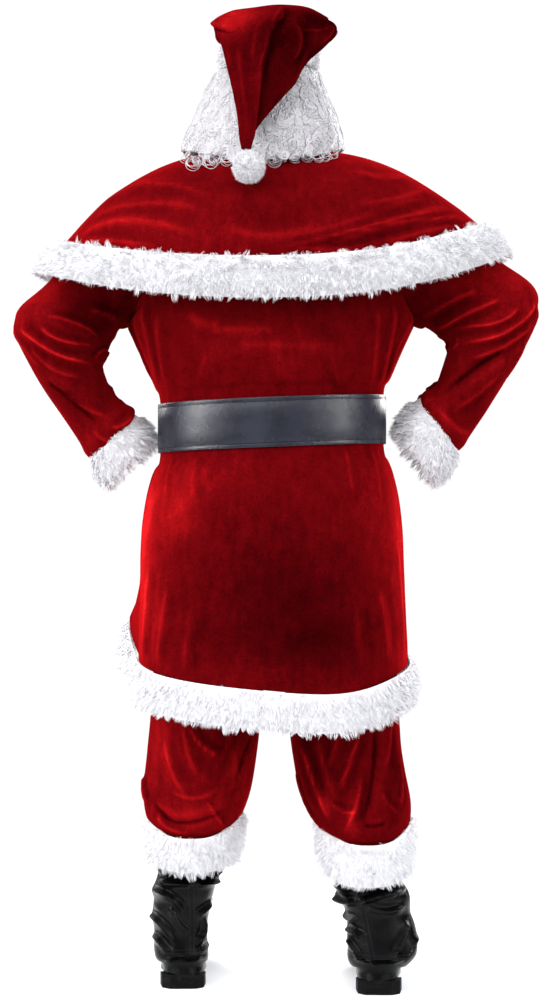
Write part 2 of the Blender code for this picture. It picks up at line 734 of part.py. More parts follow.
# Shafts: rings from the floor's side up; slouch is how far the ring is pushed outwards by a fold.
Shaft = namedtuple("Shaft", "height middle_x middle_y half_width half_depth")
SHAFTS = {
    "left": [
        Shaft(0.056, 0.1668, -0.040, 0.0450, 0.060),
        Shaft(0.066, 0.1690, -0.040, 0.0485, 0.063),
        Shaft(0.085, 0.1720, -0.040, 0.0510, 0.060),
        Shaft(0.110, 0.1715, -0.039, 0.0505, 0.058),
        Shaft(0.132, 0.1715, -0.038, 0.0545, 0.060),
        Shaft(0.158, 0.1680, -0.036, 0.0540, 0.058),
        Shaft(0.178, 0.1665, -0.034, 0.0595, 0.062),
        Shaft(0.200, 0.1600, -0.030, 0.0580, 0.058),
        Shaft(0.216, 0.1560, -0.028, 0.0575, 0.057),
        Shaft(0.236, 0.1520, -0.026, 0.0560, 0.056),
        Shaft(0.280, 0.1490, -0.022, 0.0540, 0.055),
    ],
    "right": [
        Shaft(0.056, 0.1990, 0.014, 0.0470, 0.060),
        Shaft(0.066, 0.2025, 0.014, 0.0550, 0.063),
        Shaft(0.085, 0.2045, 0.014, 0.0640, 0.062),
        Shaft(0.107, 0.2045, 0.013, 0.0650, 0.060),
        Shaft(0.130, 0.2010, 0.012, 0.0610, 0.058),
        Shaft(0.152, 0.1950, 0.011, 0.0620, 0.058),
        Shaft(0.174, 0.1880, 0.010, 0.0700, 0.064),
        Shaft(0.192, 0.1835, 0.009, 0.0610, 0.059),
        Shaft(0.208, 0.1800, 0.008, 0.0580, 0.057),
        Shaft(0.228, 0.1775, 0.008, 0.0560, 0.056),
        Shaft(0.272, 0.1760, 0.008, 0.0540, 0.055),
    ],
}
SHAFT_HEIGHTS = [0.056, 0.064, 0.082, 0.104, 0.124, 0.142, 0.160, 0.178, 0.196, 0.212, 0.232, 0.272]
SHAFT_COLUMNS = 12
HEM_CLIMB = 0.036


def make_shaft(name):
    side = SIDES[name]
    rows = []
    for height in SHAFT_HEIGHTS:
        row = read(SHAFTS[name], height)
        ring = []
        for i in range(SHAFT_COLUMNS):
            angle = 2 * math.pi * i / SHAFT_COLUMNS
            # the folds sag unevenly round the shaft, and the hem climbs over the instep
            sag = 0.004 * math.sin(angle + height * 90) if 0.06 < height < 0.20 else 0.0
            climb = HEM_CLIMB * max(0.0, -math.sin(angle)) ** 1.5 * (1.0 - smooth_step(0.056, 0.170, height))
            x = side * row.middle_x + row.half_width * math.cos(angle)
            y = row.middle_y + row.half_depth * math.sin(angle)
            ring.append(at(x, y, height + sag + climb))
        rows.append(ring)
    cloth(f"boot_shaft_{name}", rows, "leatherette", wraps=True, thickness=LEATHERETTE)


# A foot's ovals: from the ankle's opening, round the heel and on to the toe. Places are forward of the heel's back.
Foot = namedtuple("Foot", "key top_forward top_z bottom_forward bottom_z half_width")
FOOT = [
    Foot(0.00, 0.100, 0.098, 0.006, 0.098, 0.0375),
    Foot(0.12, 0.104, 0.090, 0.003, 0.070, 0.0380),
    Foot(0.24, 0.110, 0.083, 0.004, 0.040, 0.0390),
    Foot(0.34, 0.118, 0.078, 0.022, 0.0265, 0.0390),
    Foot(0.46, 0.135, 0.070, 0.070, 0.0225, 0.0380),
    Foot(0.60, 0.170, 0.059, 0.130, 0.0135, 0.0430),
    Foot(0.74, 0.212, 0.052, 0.190, 0.0095, 0.0490),
    Foot(0.86, 0.250, 0.047, 0.240, 0.0095, 0.0470),
    Foot(0.94, 0.277, 0.040, 0.271, 0.0110, 0.0390),
    Foot(0.99, 0.293, 0.030, 0.290, 0.0150, 0.0220),
]
FOOT_KEYS = [0.0, 0.13, 0.24, 0.34, 0.46, 0.60, 0.74, 0.86, 0.94, 0.99]
FOOT_COLUMNS = 12
# ankle: where the boot's ankle stands; toe_out: how far it turns outwards, in degrees
Stance = namedtuple("Stance", "heel_x heel_y toe_out")
STANCES = {"left": Stance(0.1665, 0.013, 2.0), "right": Stance(0.1975, 0.066, 2.0)}


def foot_place(name, forward, aside, height):
    """A point of the boot: forward of the heel's back, and aside towards the wearer's left."""
    stance, side = STANCES[name], SIDES[name]
    turn = math.radians(stance.toe_out) * side
    ahead = Vector((math.sin(turn), -math.cos(turn)))
    left = Vector((math.cos(turn), math.sin(turn)))
    place = Vector((side * stance.heel_x, stance.heel_y)) + ahead * forward + left * aside
    return at(place.x, place.y, height)


def make_foot(name):
    rows = []
    for key in FOOT_KEYS:
        row = read(FOOT, key)
        top = foot_place(name, row.top_forward, 0.0, row.top_z)
        bottom = foot_place(name, row.bottom_forward, 0.0, row.bottom_z)
        left = (foot_place(name, 0.0, 1.0, 0.0) - foot_place(name, 0.0, 0.0, 0.0)).normalized()
        rows.append(oval(bottom, top, left, row.half_width, FOOT_COLUMNS))
    toe = sum(rows[-1], Vector()) / FOOT_COLUMNS + (foot_place(name, 0.003, 0, 0) - foot_place(name, 0, 0, 0))
    bm = bmesh.new()
    grid = [[bm.verts.new(point) for point in row] for row in rows]
    for low, high in zip(grid, grid[1:]):
        for i in range(FOOT_COLUMNS):
            j = (i + 1) % FOOT_COLUMNS
            bm.faces.new((low[i], low[j], high[j], high[i]))
    tip = bm.verts.new(toe)
    for i in range(FOOT_COLUMNS):
        bm.faces.new((grid[-1][i], grid[-1][(i + 1) % FOOT_COLUMNS], tip))
    bmesh.ops.recalc_face_normals(bm, faces=bm.faces)
    middle = sum(rows[4], Vector()) / FOOT_COLUMNS
    if sum(f.normal.dot(f.calc_center_median() - middle) for f in bm.faces) < 0:
        bmesh.ops.reverse_faces(bm, faces=bm.faces)
    add_thickness(make_object(f"boot_foot_{name}", bm, "leatherette"), LEATHERETTE)


# The sole's outline, forward of the heel's back: half widths each side of its middle line, and its top.
SolePart = namedtuple("SolePart", "forward half_width bottom top")
SOLE = [
    SolePart(0.001, 0.0220, 0.0, 0.0200),
    SolePart(0.014, 0.0350, 0.0, 0.0190),
    SolePart(0.045, 0.0380, 0.0, 0.0185),
    SolePart(0.072, 0.0365, 0.0, 0.0180),
    SolePart(0.078, 0.0355, 0.010, 0.0175),
    SolePart(0.110, 0.0340, 0.0065, 0.0125),
    SolePart(0.150, 0.0390, 0.0, 0.0080),
    SolePart(0.190, 0.0470, 0.0, 0.0065),
    SolePart(0.235, 0.0470, 0.0, 0.0065),
    SolePart(0.270, 0.0380, 0.0, 0.0075),
    SolePart(0.292, 0.0180, 0.0, 0.0095),
]


def make_sole(name):
    sections = []
    for part in SOLE:
        sections.append(
            [
                foot_place(name, part.forward, aside, height)
                for aside, height in (
                    (-part.half_width, part.bottom),
                    (part.half_width, part.bottom),
                    (part.half_width, part.top),
                    (-part.half_width, part.top),
                )
            ]
        )
    loft(f"boot_sole_{name}", sections, "rubber")


# ---------------------------------------------------------------------------------------------------------
# Hat: ovals between the line of its back and the line of its front and top, and on down the hanging point.

HatRing = namedtuple("HatRing", "key inner_y inner_z outer_y outer_z half_width middle_x")
HAT_RINGS = [
    HatRing(0.00, 0.106, 1.7655, -0.112, 1.7575, 0.0905, 0.000),
    HatRing(0.05, 0.110, 1.7720, -0.124, 1.7700, 0.1030, -0.003),
    HatRing(0.11, 0.113, 1.7780, -0.118, 1.7960, 0.1160, -0.010),
    HatRing(0.18, 0.116, 1.7800, -0.080, 1.8210, 0.1095, -0.001),
    HatRing(0.26, 0.118, 1.7800, -0.020, 1.8320, 0.0900, -0.015),
    HatRing(0.34, 0.119, 1.7780, 0.055, 1.8240, 0.0850, -0.016),
    HatRing(0.42, 0.120, 1.7700, 0.120, 1.8060, 0.0940, 0.001),
    HatRing(0.50, 0.121, 1.7570, 0.158, 1.7760, 0.1105, -0.003),
    HatRing(0.57, 0.124, 1.7330, 0.170, 1.7430, 0.1000, -0.005),
    HatRing(0.65, 0.134, 1.6960, 0.177, 1.7010, 0.0730, 0.013),
    HatRing(0.74, 0.148, 1.6520, 0.184, 1.6520, 0.0515, 0.023),
    HatRing(0.83, 0.160, 1.6050, 0.190, 1.6040, 0.0290, 0.035),
    HatRing(0.92, 0.170, 1.5700, 0.192, 1.5700, 0.0165, 0.043),
    HatRing(1.00, 0.181, 1.5370, 0.196, 1.5370, 0.0085, 0.046),
]
HAT_KEYS = [0.0, 0.05, 0.11, 0.18, 0.26, 0.34, 0.42, 0.49, 0.56, 0.64, 0.74, 0.85, 0.94, 1.0]
HAT_COLUMNS = 20
HAT_BAND_LOW = 1.702
HAT_BAND_HIGH = 1.757


def hat_ring(key, count=HAT_COLUMNS):
    row = read(HAT_RINGS, key)
    inner = at(row.middle_x, row.inner_y, row.inner_z)
    outer = at(row.middle_x, row.outer_y, row.outer_z)
    return oval(inner, outer, Vector((1, 0, 0)), row.half_width, count)


def make_hat():
    rows = []
    for key in HAT_KEYS:
        ring = hat_ring(key)
        centre = sum(ring, Vector()) / len(ring)
        for i, point in enumerate(ring):
            turn = 2 * math.pi * i / HAT_COLUMNS
            # soft lengthwise folds down the hanging point
            fold = 0.0035 * math.sin(3 * turn + 0.6) * smooth_step(0.42, 0.62, key) * (1 - smooth_step(0.85, 1.0, key))
            ring[i] = point + (point - centre).normalized() * fold
        rows.append(ring)
    cloth("hat_crown", rows, wraps=True)


def make_hat_band():
    """A plush ring at the hat's opening, higher at the back."""
    start = hat_ring(0.0)
    centre = sum(start, Vector()) / len(start)
    profile = [(0.0005, -0.004), (0.0005, 0.003), (0.014, 0.0085), (0.040, 0.0085), (0.054, 0.003), (0.054, -0.004)]
    sections = []
    for point in start:
        out = point - centre
        out.z = 0.0
        out.normalize()
        sections.append([point + out * aside - Vector((0, 0, below)) for below, aside in profile])
    loft("hat_band", sections, "plush", wraps=True)


def make_pompom():
    tip = read(HAT_RINGS, 1.0)
    centre = at(tip.middle_x - 0.004, (tip.inner_y + tip.outer_y) / 2, tip.inner_z - POMPOM_RADIUS - 0.0006)
    bm = bmesh.new()
    bmesh.ops.create_uvsphere(bm, u_segments=14, v_segments=9, radius=POMPOM_RADIUS)
    for vert in bm.verts:
        vert.co += centre
    make_object("hat_pompom", bm, "plush")


# ---------------------------------------------------------------------------------------------------------
# Wig: a net cap under the hat, and a bell of curls that hangs from it, open at the face.

WigRing = namedtuple("WigRing", "height left right back front")
WIG_RINGS = [
    WigRing(1.545, 0.176, 0.139, 0.150, 0.120),
    WigRing(1.570, 0.170, 0.138, 0.154, 0.118),
    WigRing(1.605, 0.157, 0.131, 0.150, 0.116),
    WigRing(1.650, 0.140, 0.119, 0.136, 0.114),
    WigRing(1.690, 0.112, 0.104, 0.122, 0.112),
    WigRing(1.7015, 0.099, 0.096, 0.113, 0.108),
]
WIG_HEIGHTS = [1.545, 1.560, 1.580, 1.605, 1.632, 1.660, 1.683, 1.7015]
WIG_COLUMNS = 26
FACE_HALF_ANGLE = 40.0
WIG_DEPTH = 0.016
CURL_RELIEF = 0.0045


def wig_point(height, angle, out=0.0):
    row = read(WIG_RINGS, height)
    turn = math.radians(angle)
    side, depth = math.cos(turn), math.sin(turn)
    x = ((row.left if side > 0 else row.right) + out) * side
    y = ((row.back if depth > 0 else row.front) + out) * depth
    # the lower edge dips at the back, where it lies lower on the cape
    low = 1.0 - smooth_step(1.545, 1.66, height)
    return at(x, y, height + low * (0.018 * side**2 - 0.016 * max(depth, 0.0) ** 2))


def make_wig():
    rows = []
    angles = spread(-90 + FACE_HALF_ANGLE, 270 - FACE_HALF_ANGLE, WIG_COLUMNS)
    for i, height in enumerate(WIG_HEIGHTS):
        row = []
        for j, angle in enumerate(angles):
            # ringlets: neighbours stand out in turn
            out = CURL_RELIEF * (1 if (i + j) % 2 else -1) * smooth_step(1.7015, 1.66, height)
            row.append(wig_point(height, angle, out))
        rows.append(row)
    cloth("wig_curls", rows, "curls", thickness=WIG_DEPTH)


CAP_HALF_WIDTH = 0.0790
CAP_HALF_DEPTH = 0.0930
CAP_LOW = 1.704
CAP_TOP = 1.806


def make_wig_cap():
    """A dome of net: rings that shrink to a pole."""
    bm = bmesh.new()
    rings = []
    count, tiers = 18, 5
    for tier in range(tiers):
        lift = math.radians(90.0 * tier / tiers)
        height = CAP_LOW + (CAP_TOP - CAP_LOW) * math.sin(lift)
        ring = []
        for i in range(count):
            turn = 2 * math.pi * i / count
            x = CAP_HALF_WIDTH * math.cos(lift) * math.cos(turn)
            y = CAP_HALF_DEPTH * math.cos(lift) * math.sin(turn) - 0.002
            ring.append(bm.verts.new(at(x, y, height)))
        rings.append(ring)
    top = bm.verts.new(at(0, -0.002, CAP_TOP))
    for low, high in zip(rings, rings[1:]):
        for i in range(count):
            j = (i + 1) % count
            bm.faces.new((low[i], low[j], high[j], high[i]))
    for i in range(count):
        bm.faces.new((rings[-1][i], rings[-1][(i + 1) % count], top))
    add_thickness(make_object("wig_cap", bm, "net"), 0.0015)


def main():
    clear_scene()
    make_hat()
    make_hat_band()
    make_pompom()
    make_wig()
    make_wig_cap()
    make_cape()
    make_cape_clasp()
    make_coat()
    make_coat_hem_trim()
    make_belt()
    make_buckle()
    make_waistband()
    for name in SIDES:
        make_sleeve(name)
        make_cuff(name)
        make_trouser_half(name)
        make_leg_trim(name)
        make_shaft(name)
        make_foot(name)
        make_sole(name)


main()
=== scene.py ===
# %% [markdown]
# # A Santa suit, dressed for its portrait
#
# The solids of the suit are ready: hat, wig, cape, coat, belt, trousers and boots, worn with hands on hips and
# with nobody inside. This lesson gives them what cloth really has: folds, a velvet nap, long white fur, curls and
# polished faux leather. Everything is in metres. The origin is the middle of the neck, the suit's front faces -Y,
# and the wearer's left is +X.

# %% Load the solids
import json
import math
from contextlib import contextmanager
from functools import partial

import bpy
import numpy as np
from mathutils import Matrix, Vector, kdtree, noise
from mathutils.bvhtree import BVHTree

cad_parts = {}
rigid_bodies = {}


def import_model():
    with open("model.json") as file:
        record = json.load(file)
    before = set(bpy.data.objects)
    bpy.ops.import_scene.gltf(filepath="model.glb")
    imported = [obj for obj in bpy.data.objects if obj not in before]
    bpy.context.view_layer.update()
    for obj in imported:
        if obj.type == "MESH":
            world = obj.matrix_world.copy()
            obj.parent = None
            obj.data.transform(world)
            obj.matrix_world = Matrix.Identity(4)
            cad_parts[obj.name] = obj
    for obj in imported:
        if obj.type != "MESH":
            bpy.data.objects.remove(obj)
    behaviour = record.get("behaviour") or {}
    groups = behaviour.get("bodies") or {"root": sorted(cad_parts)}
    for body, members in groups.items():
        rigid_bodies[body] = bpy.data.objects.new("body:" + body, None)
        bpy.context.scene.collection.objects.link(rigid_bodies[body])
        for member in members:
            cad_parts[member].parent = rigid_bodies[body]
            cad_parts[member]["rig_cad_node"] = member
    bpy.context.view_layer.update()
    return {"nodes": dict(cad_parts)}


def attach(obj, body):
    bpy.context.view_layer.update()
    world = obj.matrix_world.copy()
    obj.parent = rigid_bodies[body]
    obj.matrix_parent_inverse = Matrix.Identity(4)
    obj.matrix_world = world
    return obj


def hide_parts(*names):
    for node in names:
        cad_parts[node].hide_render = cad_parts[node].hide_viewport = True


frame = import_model()
FLOOR = -1.52

# %% [markdown]
# ## The studio
#
# The suit is seen from behind, straight on, from the height of the hips. A long lens keeps its outline flat, as
# in a shop's picture. The floor is one pale sheet.

# %% Camera and floor
camera = bpy.data.objects.new("camera", bpy.data.cameras.new("camera"))
bpy.context.scene.collection.objects.link(camera)
camera.location = (-0.0028, 4.2, -0.609)
camera.rotation_euler = (math.radians(90), 0, math.radians(180))
camera.data.sensor_width = 36
camera.data.lens = 80.94
bpy.context.scene.camera = camera

bpy.ops.mesh.primitive_plane_add(size=14, location=(0, 0, FLOOR))
floor = bpy.context.object
floor.name = "studio_floor"
bpy.ops.object.transform_apply(location=True)

# %% [markdown]
# ## Writing materials as sums
#
# A material is a net of nodes, and so is the room's light. Small classes let us write a net as plain expressions:
# a `Wire` is one value that flows through it, so `1 - wire * 0.5` adds the Math nodes by itself, a `Net` adds any
# other node, and a `Finish` is the net of one material.

# %% Wires and finishes
class Wire:
    """One value in a net. Adding, subtracting or multiplying it adds a Math node."""

    def __init__(self, net, socket):
        self.net, self.socket = net, socket

    def math(self, operation, *values):
        return self.net.node("ShaderNodeMath", {"operation": operation}, dict(enumerate(values)))

    def __add__(self, other):
        return self.math("ADD", self, other)

    def __sub__(self, other):
        return self.math("SUBTRACT", self, other)

    def __rsub__(self, other):
        return self.math("SUBTRACT", other, self)

    def __mul__(self, other):
        return self.math("MULTIPLY", self, other)

    __radd__ = __add__
    __rmul__ = __mul__

    def between(self, low, high):
        """0 below low, 1 above high, and smooth from one to the other."""
        settings = {"interpolation_type": "SMOOTHSTEP"}
        return self.net.node("ShaderNodeMapRange", settings, {"Value": self, "From Min": low, "From Max": high})


class Net:
    """The nodes of a material or of the world."""

    def __init__(self, owner):
        owner.use_nodes = True
        self.tree = owner.node_tree

    def node(self, kind, settings=None, values=None, out=0):
        node = self.tree.nodes.new(kind)
        for name, value in (settings or {}).items():
            if name == "stops":
                for stop in value[1:-1]:
                    node.color_ramp.elements.new(stop[0])
                for element, (where, colour) in zip(node.color_ramp.elements, value):
                    element.position, element.color = where, (*colour, 1)
            else:
                setattr(node, name, value)
        for name, value in (values or {}).items():
            self.plug(node.inputs[name], value)
        return Wire(self, node.outputs[out])

    def plug(self, socket, value):
        if isinstance(value, Wire):
            self.tree.links.new(value.socket, socket)
        else:
            socket.default_value = value


class Finish(Net):
    """A material round one Principled shader. Its sockets are set by name, with _ for a space."""

    def __init__(self, name, **values):
        self.material = bpy.data.materials.new(name)
        super().__init__(self.material)
        self.shader = self.tree.nodes["Principled BSDF"]
        self.set(**values)

    def set(self, **values):
        for name, value in values.items():
            self.plug(self.shader.inputs[name.replace("_", " ")], value)

    def place(self, stretch=(1, 1, 1)):
        """Where a point is on the piece, in metres, with each axis multiplied by stretch."""
        where = self.node("ShaderNodeTexCoord", out="Object")
        return self.node("ShaderNodeMapping", values={"Vector": where, "Scale": stretch})

    def cells(self, where, scale):
        """How far a place is from the edges of irregular cells."""
        settings = {"feature": "DISTANCE_TO_EDGE"}
        return self.node("ShaderNodeTexVoronoi", settings, {"Vector": where, "Scale": float(scale)})

    def cloud(self, where, scale, detail=2.0, rough=0.5, warp=0.0):
        settings = {"Vector": where, "Scale": scale, "Detail": detail, "Roughness": rough, "Distortion": warp}
        return self.node("ShaderNodeTexNoise", values=settings)

    def ramp(self, factor, *stops):
        return self.node("ShaderNodeValToRGB", {"stops": stops}, {"Fac": factor})

    def mix(self, factor, one, two):
        return self.node("ShaderNodeMix", {"data_type": "RGBA"}, {0: factor, 6: one, 7: two}, out=2)

    def attribute(self, name):
        return self.node("ShaderNodeAttribute", {"attribute_name": name}, out="Fac")

    def bump(self, height, distance, strength=1.0, under=None):
        values = {"Height": height, "Distance": distance, "Strength": strength}
        if under is not None:
            values["Normal"] = under
        return self.node("ShaderNodeBump", values=values)


# %% [markdown]
# Velvet is lit best from the sides: its pile stands up like grass, so light that grazes it is caught by the tips
# and the edges of every form glow, while the middle stays deep. Two tall soft boxes stand left and right of the
# camera, the stronger one on the wearer's left, and a pale world fills the rest. That world is dimmer for
# reflections, so that leather stays black, and plain white behind the suit.

# %% Lights and world
LIGHTS = [
    # name, place, target, width, height, power
    ("key", (3.3, 2.1, 0.75), (0, 0, -0.5), 1.1, 2.4, 168),
    ("side", (-3.0, 2.4, 0.6), (0, 0, -0.5), 0.9, 2.4, 90),
    ("top", (0.6, 2.6, 2.4), (0, 0, -0.4), 2.2, 1.6, 62),
    ("front_key", (-2.6, -3.2, 0.7), (0, 0, -0.6), 1.6, 2.4, 150),
    ("front_fill", (3.0, -2.6, 0.2), (0, 0, -0.6), 1.4, 2.4, 80),
]
for name, place, target, width, height, power in LIGHTS:
    light = bpy.data.lights.new(name, "AREA")
    light.shape = "RECTANGLE"
    light.size, light.size_y, light.energy = width, height, power
    lamp = bpy.data.objects.new(name, light)
    lamp.location = place
    lamp.rotation_euler = (Vector(target) - Vector(place)).to_track_quat("-Z", "Y").to_euler()
    bpy.context.scene.collection.objects.link(lamp)

world = bpy.data.worlds.new("pale_studio")
room = Net(world)
around = room.node("ShaderNodeTexCoord", out="Generated")
height = room.node("ShaderNodeSeparateXYZ", values={0: around}, out="Z")
glossy = room.node("ShaderNodeLightPath", out="Is Glossy Ray")
strength = (0.44 + height.between(0.15, 0.9) * 0.86) * (1 - glossy * 0.78)
pale = room.tree.nodes["Background"]
room.plug(pale.inputs["Color"], (0.95, 0.97, 1.0, 1))
room.plug(pale.inputs["Strength"], strength)
white = room.node("ShaderNodeBackground", values={"Color": (1, 1, 1, 1), "Strength": 1.05})
seen = room.node("ShaderNodeLightPath", out="Is Camera Ray")
shown = room.node("ShaderNodeMixShader", values={0: seen, 1: Wire(room, pale.outputs[0]), 2: white})
room.plug(room.tree.nodes["World Output"].inputs["Surface"], shown)
bpy.context.scene.world = world
bpy.context.scene.view_settings.view_transform = "Standard"

# %% [markdown]
# ## Stretch velvet
#
# This cloth is a knitted velvet. Hands, seats and hangers have pushed its short pile over in patches, so some
# patches send light back and others swallow it: that is the mottling. Four noises add up to it: broad patches,
# crushed spots of a thumb's width, streaks combed downwards, and the nap itself. An attribute adds what is
# painted over it: painted highlights on the ridges of folds and painted shade in their troughs, patches of
# crushed pile, and patches of painted highlight and painted shade. The rim's glow is the shader's sheen, and
# there is less of it where the pile lies flat.

# %% Velvet
def velvet_finish(name, sheen, ground):
    tint = (1.0, 0.012, 0.016, 1)
    velvet = Finish(name, Sheen_Weight=sheen, Sheen_Roughness=0.42, Sheen_Tint=tint, Specular_IOR_Level=0.0)
    where = velvet.place()
    hanging = velvet.place((1, 1, 0.3))
    pile = velvet.attribute("pile")
    broad = velvet.cloud(where, 6, 2.0, 0.5, 0.5)
    crush = velvet.cloud(where, 34, 3.0, 0.62, 0.8)
    combed = velvet.cloud(hanging, 70, 2.0, 0.55)
    nap = velvet.cloud(where, 230, 2.0, 0.6)
    tone = ground + (broad - 0.5) * 0.22 + (crush - 0.5) * 0.26 + (combed - 0.5) * 0.22
    # the attribute adds painted highlights on fold ridges, painted shade in their troughs, crushed pile and patches
    # of painted light
    tone = tone + (nap - 0.5) * 0.26 + pile * 0.32
    colour = velvet.ramp(
        tone,
        (0.0, (0.012, 0.0001, 0.0004)),
        (0.25, (0.045, 0.0005, 0.0013)),
        (0.48, (0.108, 0.0013, 0.0025)),
        (0.74, (0.245, 0.0032, 0.0046)),
        (1.0, (0.56, 0.0110, 0.0125)),
    )
    furry = velvet.bump(nap, 0.0010, 0.30, under=velvet.bump(crush, 0.0030, 0.30))
    velvet.set(Base_Color=colour, Roughness=0.62 + crush * 0.2, Normal=furry)
    return velvet.material


VELVET = velvet_finish("velvet", 0.52, 0.425)
FLAT_VELVET = velvet_finish("flattened_velvet", 0.22, 0.475)
# the hat's velvet has less sheen and a darker ground, which is painted shade over the whole hat
HAT_VELVET_PAINTED_SHADE = velvet_finish("hat_velvet", 0.08, 0.345)

# %% [markdown]
# ## From a solid to cloth
#
# Each panel's solid already has the right size and place, but its faces are flat and large. We copy its mesh,
# join its loose triangles into a net of four-sided faces, and smooth that with a Subdivision Surface. Such a
# surface normally shrinks away from its net, so the net is first pushed out by what it would lose.

# %% Helpers for meshes
def only(piece):
    """Selects just this piece and makes it active."""
    bpy.ops.object.select_all(action="DESELECT")
    piece.select_set(True)
    bpy.context.view_layer.objects.active = piece


def apply(piece, modifier):
    only(piece)
    bpy.ops.object.modifier_apply(modifier=modifier)


@contextmanager
def editing(piece, selected="SELECT"):
    """Edit mode on one piece, with all of it selected, none of it, or as it was."""
    only(piece)
    bpy.ops.object.mode_set(mode="EDIT")
    if selected:
        bpy.ops.mesh.select_all(action=selected)
    yield
    bpy.ops.object.mode_set(mode="OBJECT")


def points(mesh, what="co"):
    found = np.empty(len(mesh.vertices) * 3)
    mesh.vertices.foreach_get(what, found)
    return found.reshape(-1, 3)


def move_to(piece, places):
    piece.data.vertices.foreach_set("co", np.asarray(places, dtype=np.float32).ravel())
    piece.data.update()


def new_piece(name, data):
    piece = bpy.data.objects.new(name, data)
    bpy.context.scene.collection.objects.link(piece)
    return piece


def note(mesh, name, values):
    """Writes a number on every vertex, for a finish to read."""
    attribute = mesh.attributes.get(name) or mesh.attributes.new(name, "FLOAT", "POINT")
    attribute.data.foreach_set("value", values)


def copy_of(node, name):
    """A copy of a solid's mesh, merged and made of four-sided faces where it can be."""
    piece = new_piece(name, frame["nodes"][node].data.copy())
    piece.data.materials.clear()
    only(piece)
    bpy.ops.mesh.customdata_custom_splitnormals_clear()
    with editing(piece):
        bpy.ops.mesh.remove_doubles(threshold=0.00006)
        bpy.ops.mesh.tris_convert_to_quads(face_threshold=math.radians(60), shape_threshold=math.radians(60))
    return piece


def keep_edges(piece, angle):
    """Creases the edges that are sharper than an angle, so that smoothing doesn't round them off."""
    with editing(piece, "DESELECT"):
        bpy.ops.mesh.select_mode(type="EDGE")
        bpy.ops.mesh.edges_select_sharp(sharpness=math.radians(angle))
    mesh = piece.data
    crease = mesh.attributes.get("crease_edge") or mesh.attributes.new("crease_edge", "FLOAT", "EDGE")
    crease.data.foreach_set("value", [float(edge.select) for edge in mesh.edges])


def smooth(piece, levels, through=True):
    """Subdivides a piece. With through, the smooth surface passes through the points that the net had."""
    net = points(piece.data)
    subdivision = piece.modifiers.new("smooth", "SUBSURF")
    subdivision.levels = subdivision.render_levels = levels
    for _ in range(3 if through else 0):
        evaluated = piece.evaluated_get(bpy.context.evaluated_depsgraph_get())
        reached = points(evaluated.data)[: len(net)]
        move_to(piece, points(piece.data) + (net - reached) * 0.9)
    apply(piece, "smooth")


def cloth_of(node, name, sharp=50, levels=3):
    """A smooth copy of a solid, which keeps its sharp edges."""
    piece = copy_of(node, name)
    keep_edges(piece, sharp)
    smooth(piece, levels)
    return piece


def bevel(piece, width, segments, angle):
    """Rounds the edges that are sharper than an angle."""
    edge = piece.modifiers.new("edge", "BEVEL")
    edge.width, edge.segments = width, segments
    edge.limit_method, edge.angle_limit = "ANGLE", math.radians(angle)
    apply(piece, "edge")


def shrink(piece, amount):
    with editing(piece):
        bpy.ops.transform.shrink_fatten(value=-amount)


def shape_of(model):
    """The points and the faces of a small model, which has then done its work."""
    shape, faces = points(model.data), [tuple(face.vertices) for face in model.data.polygons]
    bpy.data.objects.remove(model, do_unlink=True)
    return shape, faces


def copies(name, shape, faces, places):
    """One piece of many copies of a small shape, each with its own points: an array of copy, point, x y z."""
    mesh = bpy.data.meshes.new(name)
    every = [tuple(i * len(shape) + k for k in face) for i in range(len(places)) for face in faces]
    mesh.from_pydata(np.concatenate(places).tolist(), [], every)
    return new_piece(name, mesh)


def dress(piece, material, slot, *nodes):
    """Gives a piece its material and smooth shading, and sets it in the place of its solids."""
    piece.data.materials.append(material)
    only(piece)
    bpy.ops.object.shade_smooth_by_angle(angle=math.radians(50))
    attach(piece, "root")
    if nodes:
        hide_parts(*nodes)
    print(piece.name, "faces:", len(piece.data.polygons))
    return piece


# %% [markdown]
# A fold is a line on the cloth. Along it the cloth rises, and on one side of it falls a little. Each row below
# gives where a fold starts, passes and ends, its width and its rise, in millimetres, read off the worn suit: most
# run from where the cloth is gathered, such as the crook of an elbow. A vertex near the line moves straight away
# from the body's axis, and both walls of the cloth move alike, so its thickness stays.

# %% Folds
def dot(one, two):
    return np.einsum("ij,ij->i", one, two)


def unit(vectors):
    return vectors / np.maximum(np.linalg.norm(vectors, axis=1), 1e-9)[:, None]


def away_from(places, axis):
    """Unit directions away from the nearest place on a line of joined points."""
    best = np.full(len(places), np.inf)
    found = np.zeros_like(places)
    for one, two in zip(axis, axis[1:]):
        one, two = np.array(one, float), np.array(two, float)
        along = two - one
        share = np.clip((places - one) @ along / (along @ along), 0, 1)
        apart = places - (one + share[:, None] * along)
        length = np.linalg.norm(apart, axis=1)
        nearer = length < best
        best[nearer] = length[nearer]
        found[nearer] = apart[nearer]
    return found / np.maximum(np.linalg.norm(found, axis=1), 1e-6)[:, None]


def ease(low, high, values):
    share = np.clip((values - low) / (high - low), 0, 1)
    return share * share * (3 - 2 * share)


def near_to(places, x, y, z, wide, high):
    """1 at a place in mm, and less with the distance from it."""
    apart = (places - np.array((x, y, z)) / 1000) / (np.array((wide, wide, high)) / 1000)
    return np.exp(-((apart**2).sum(1)))


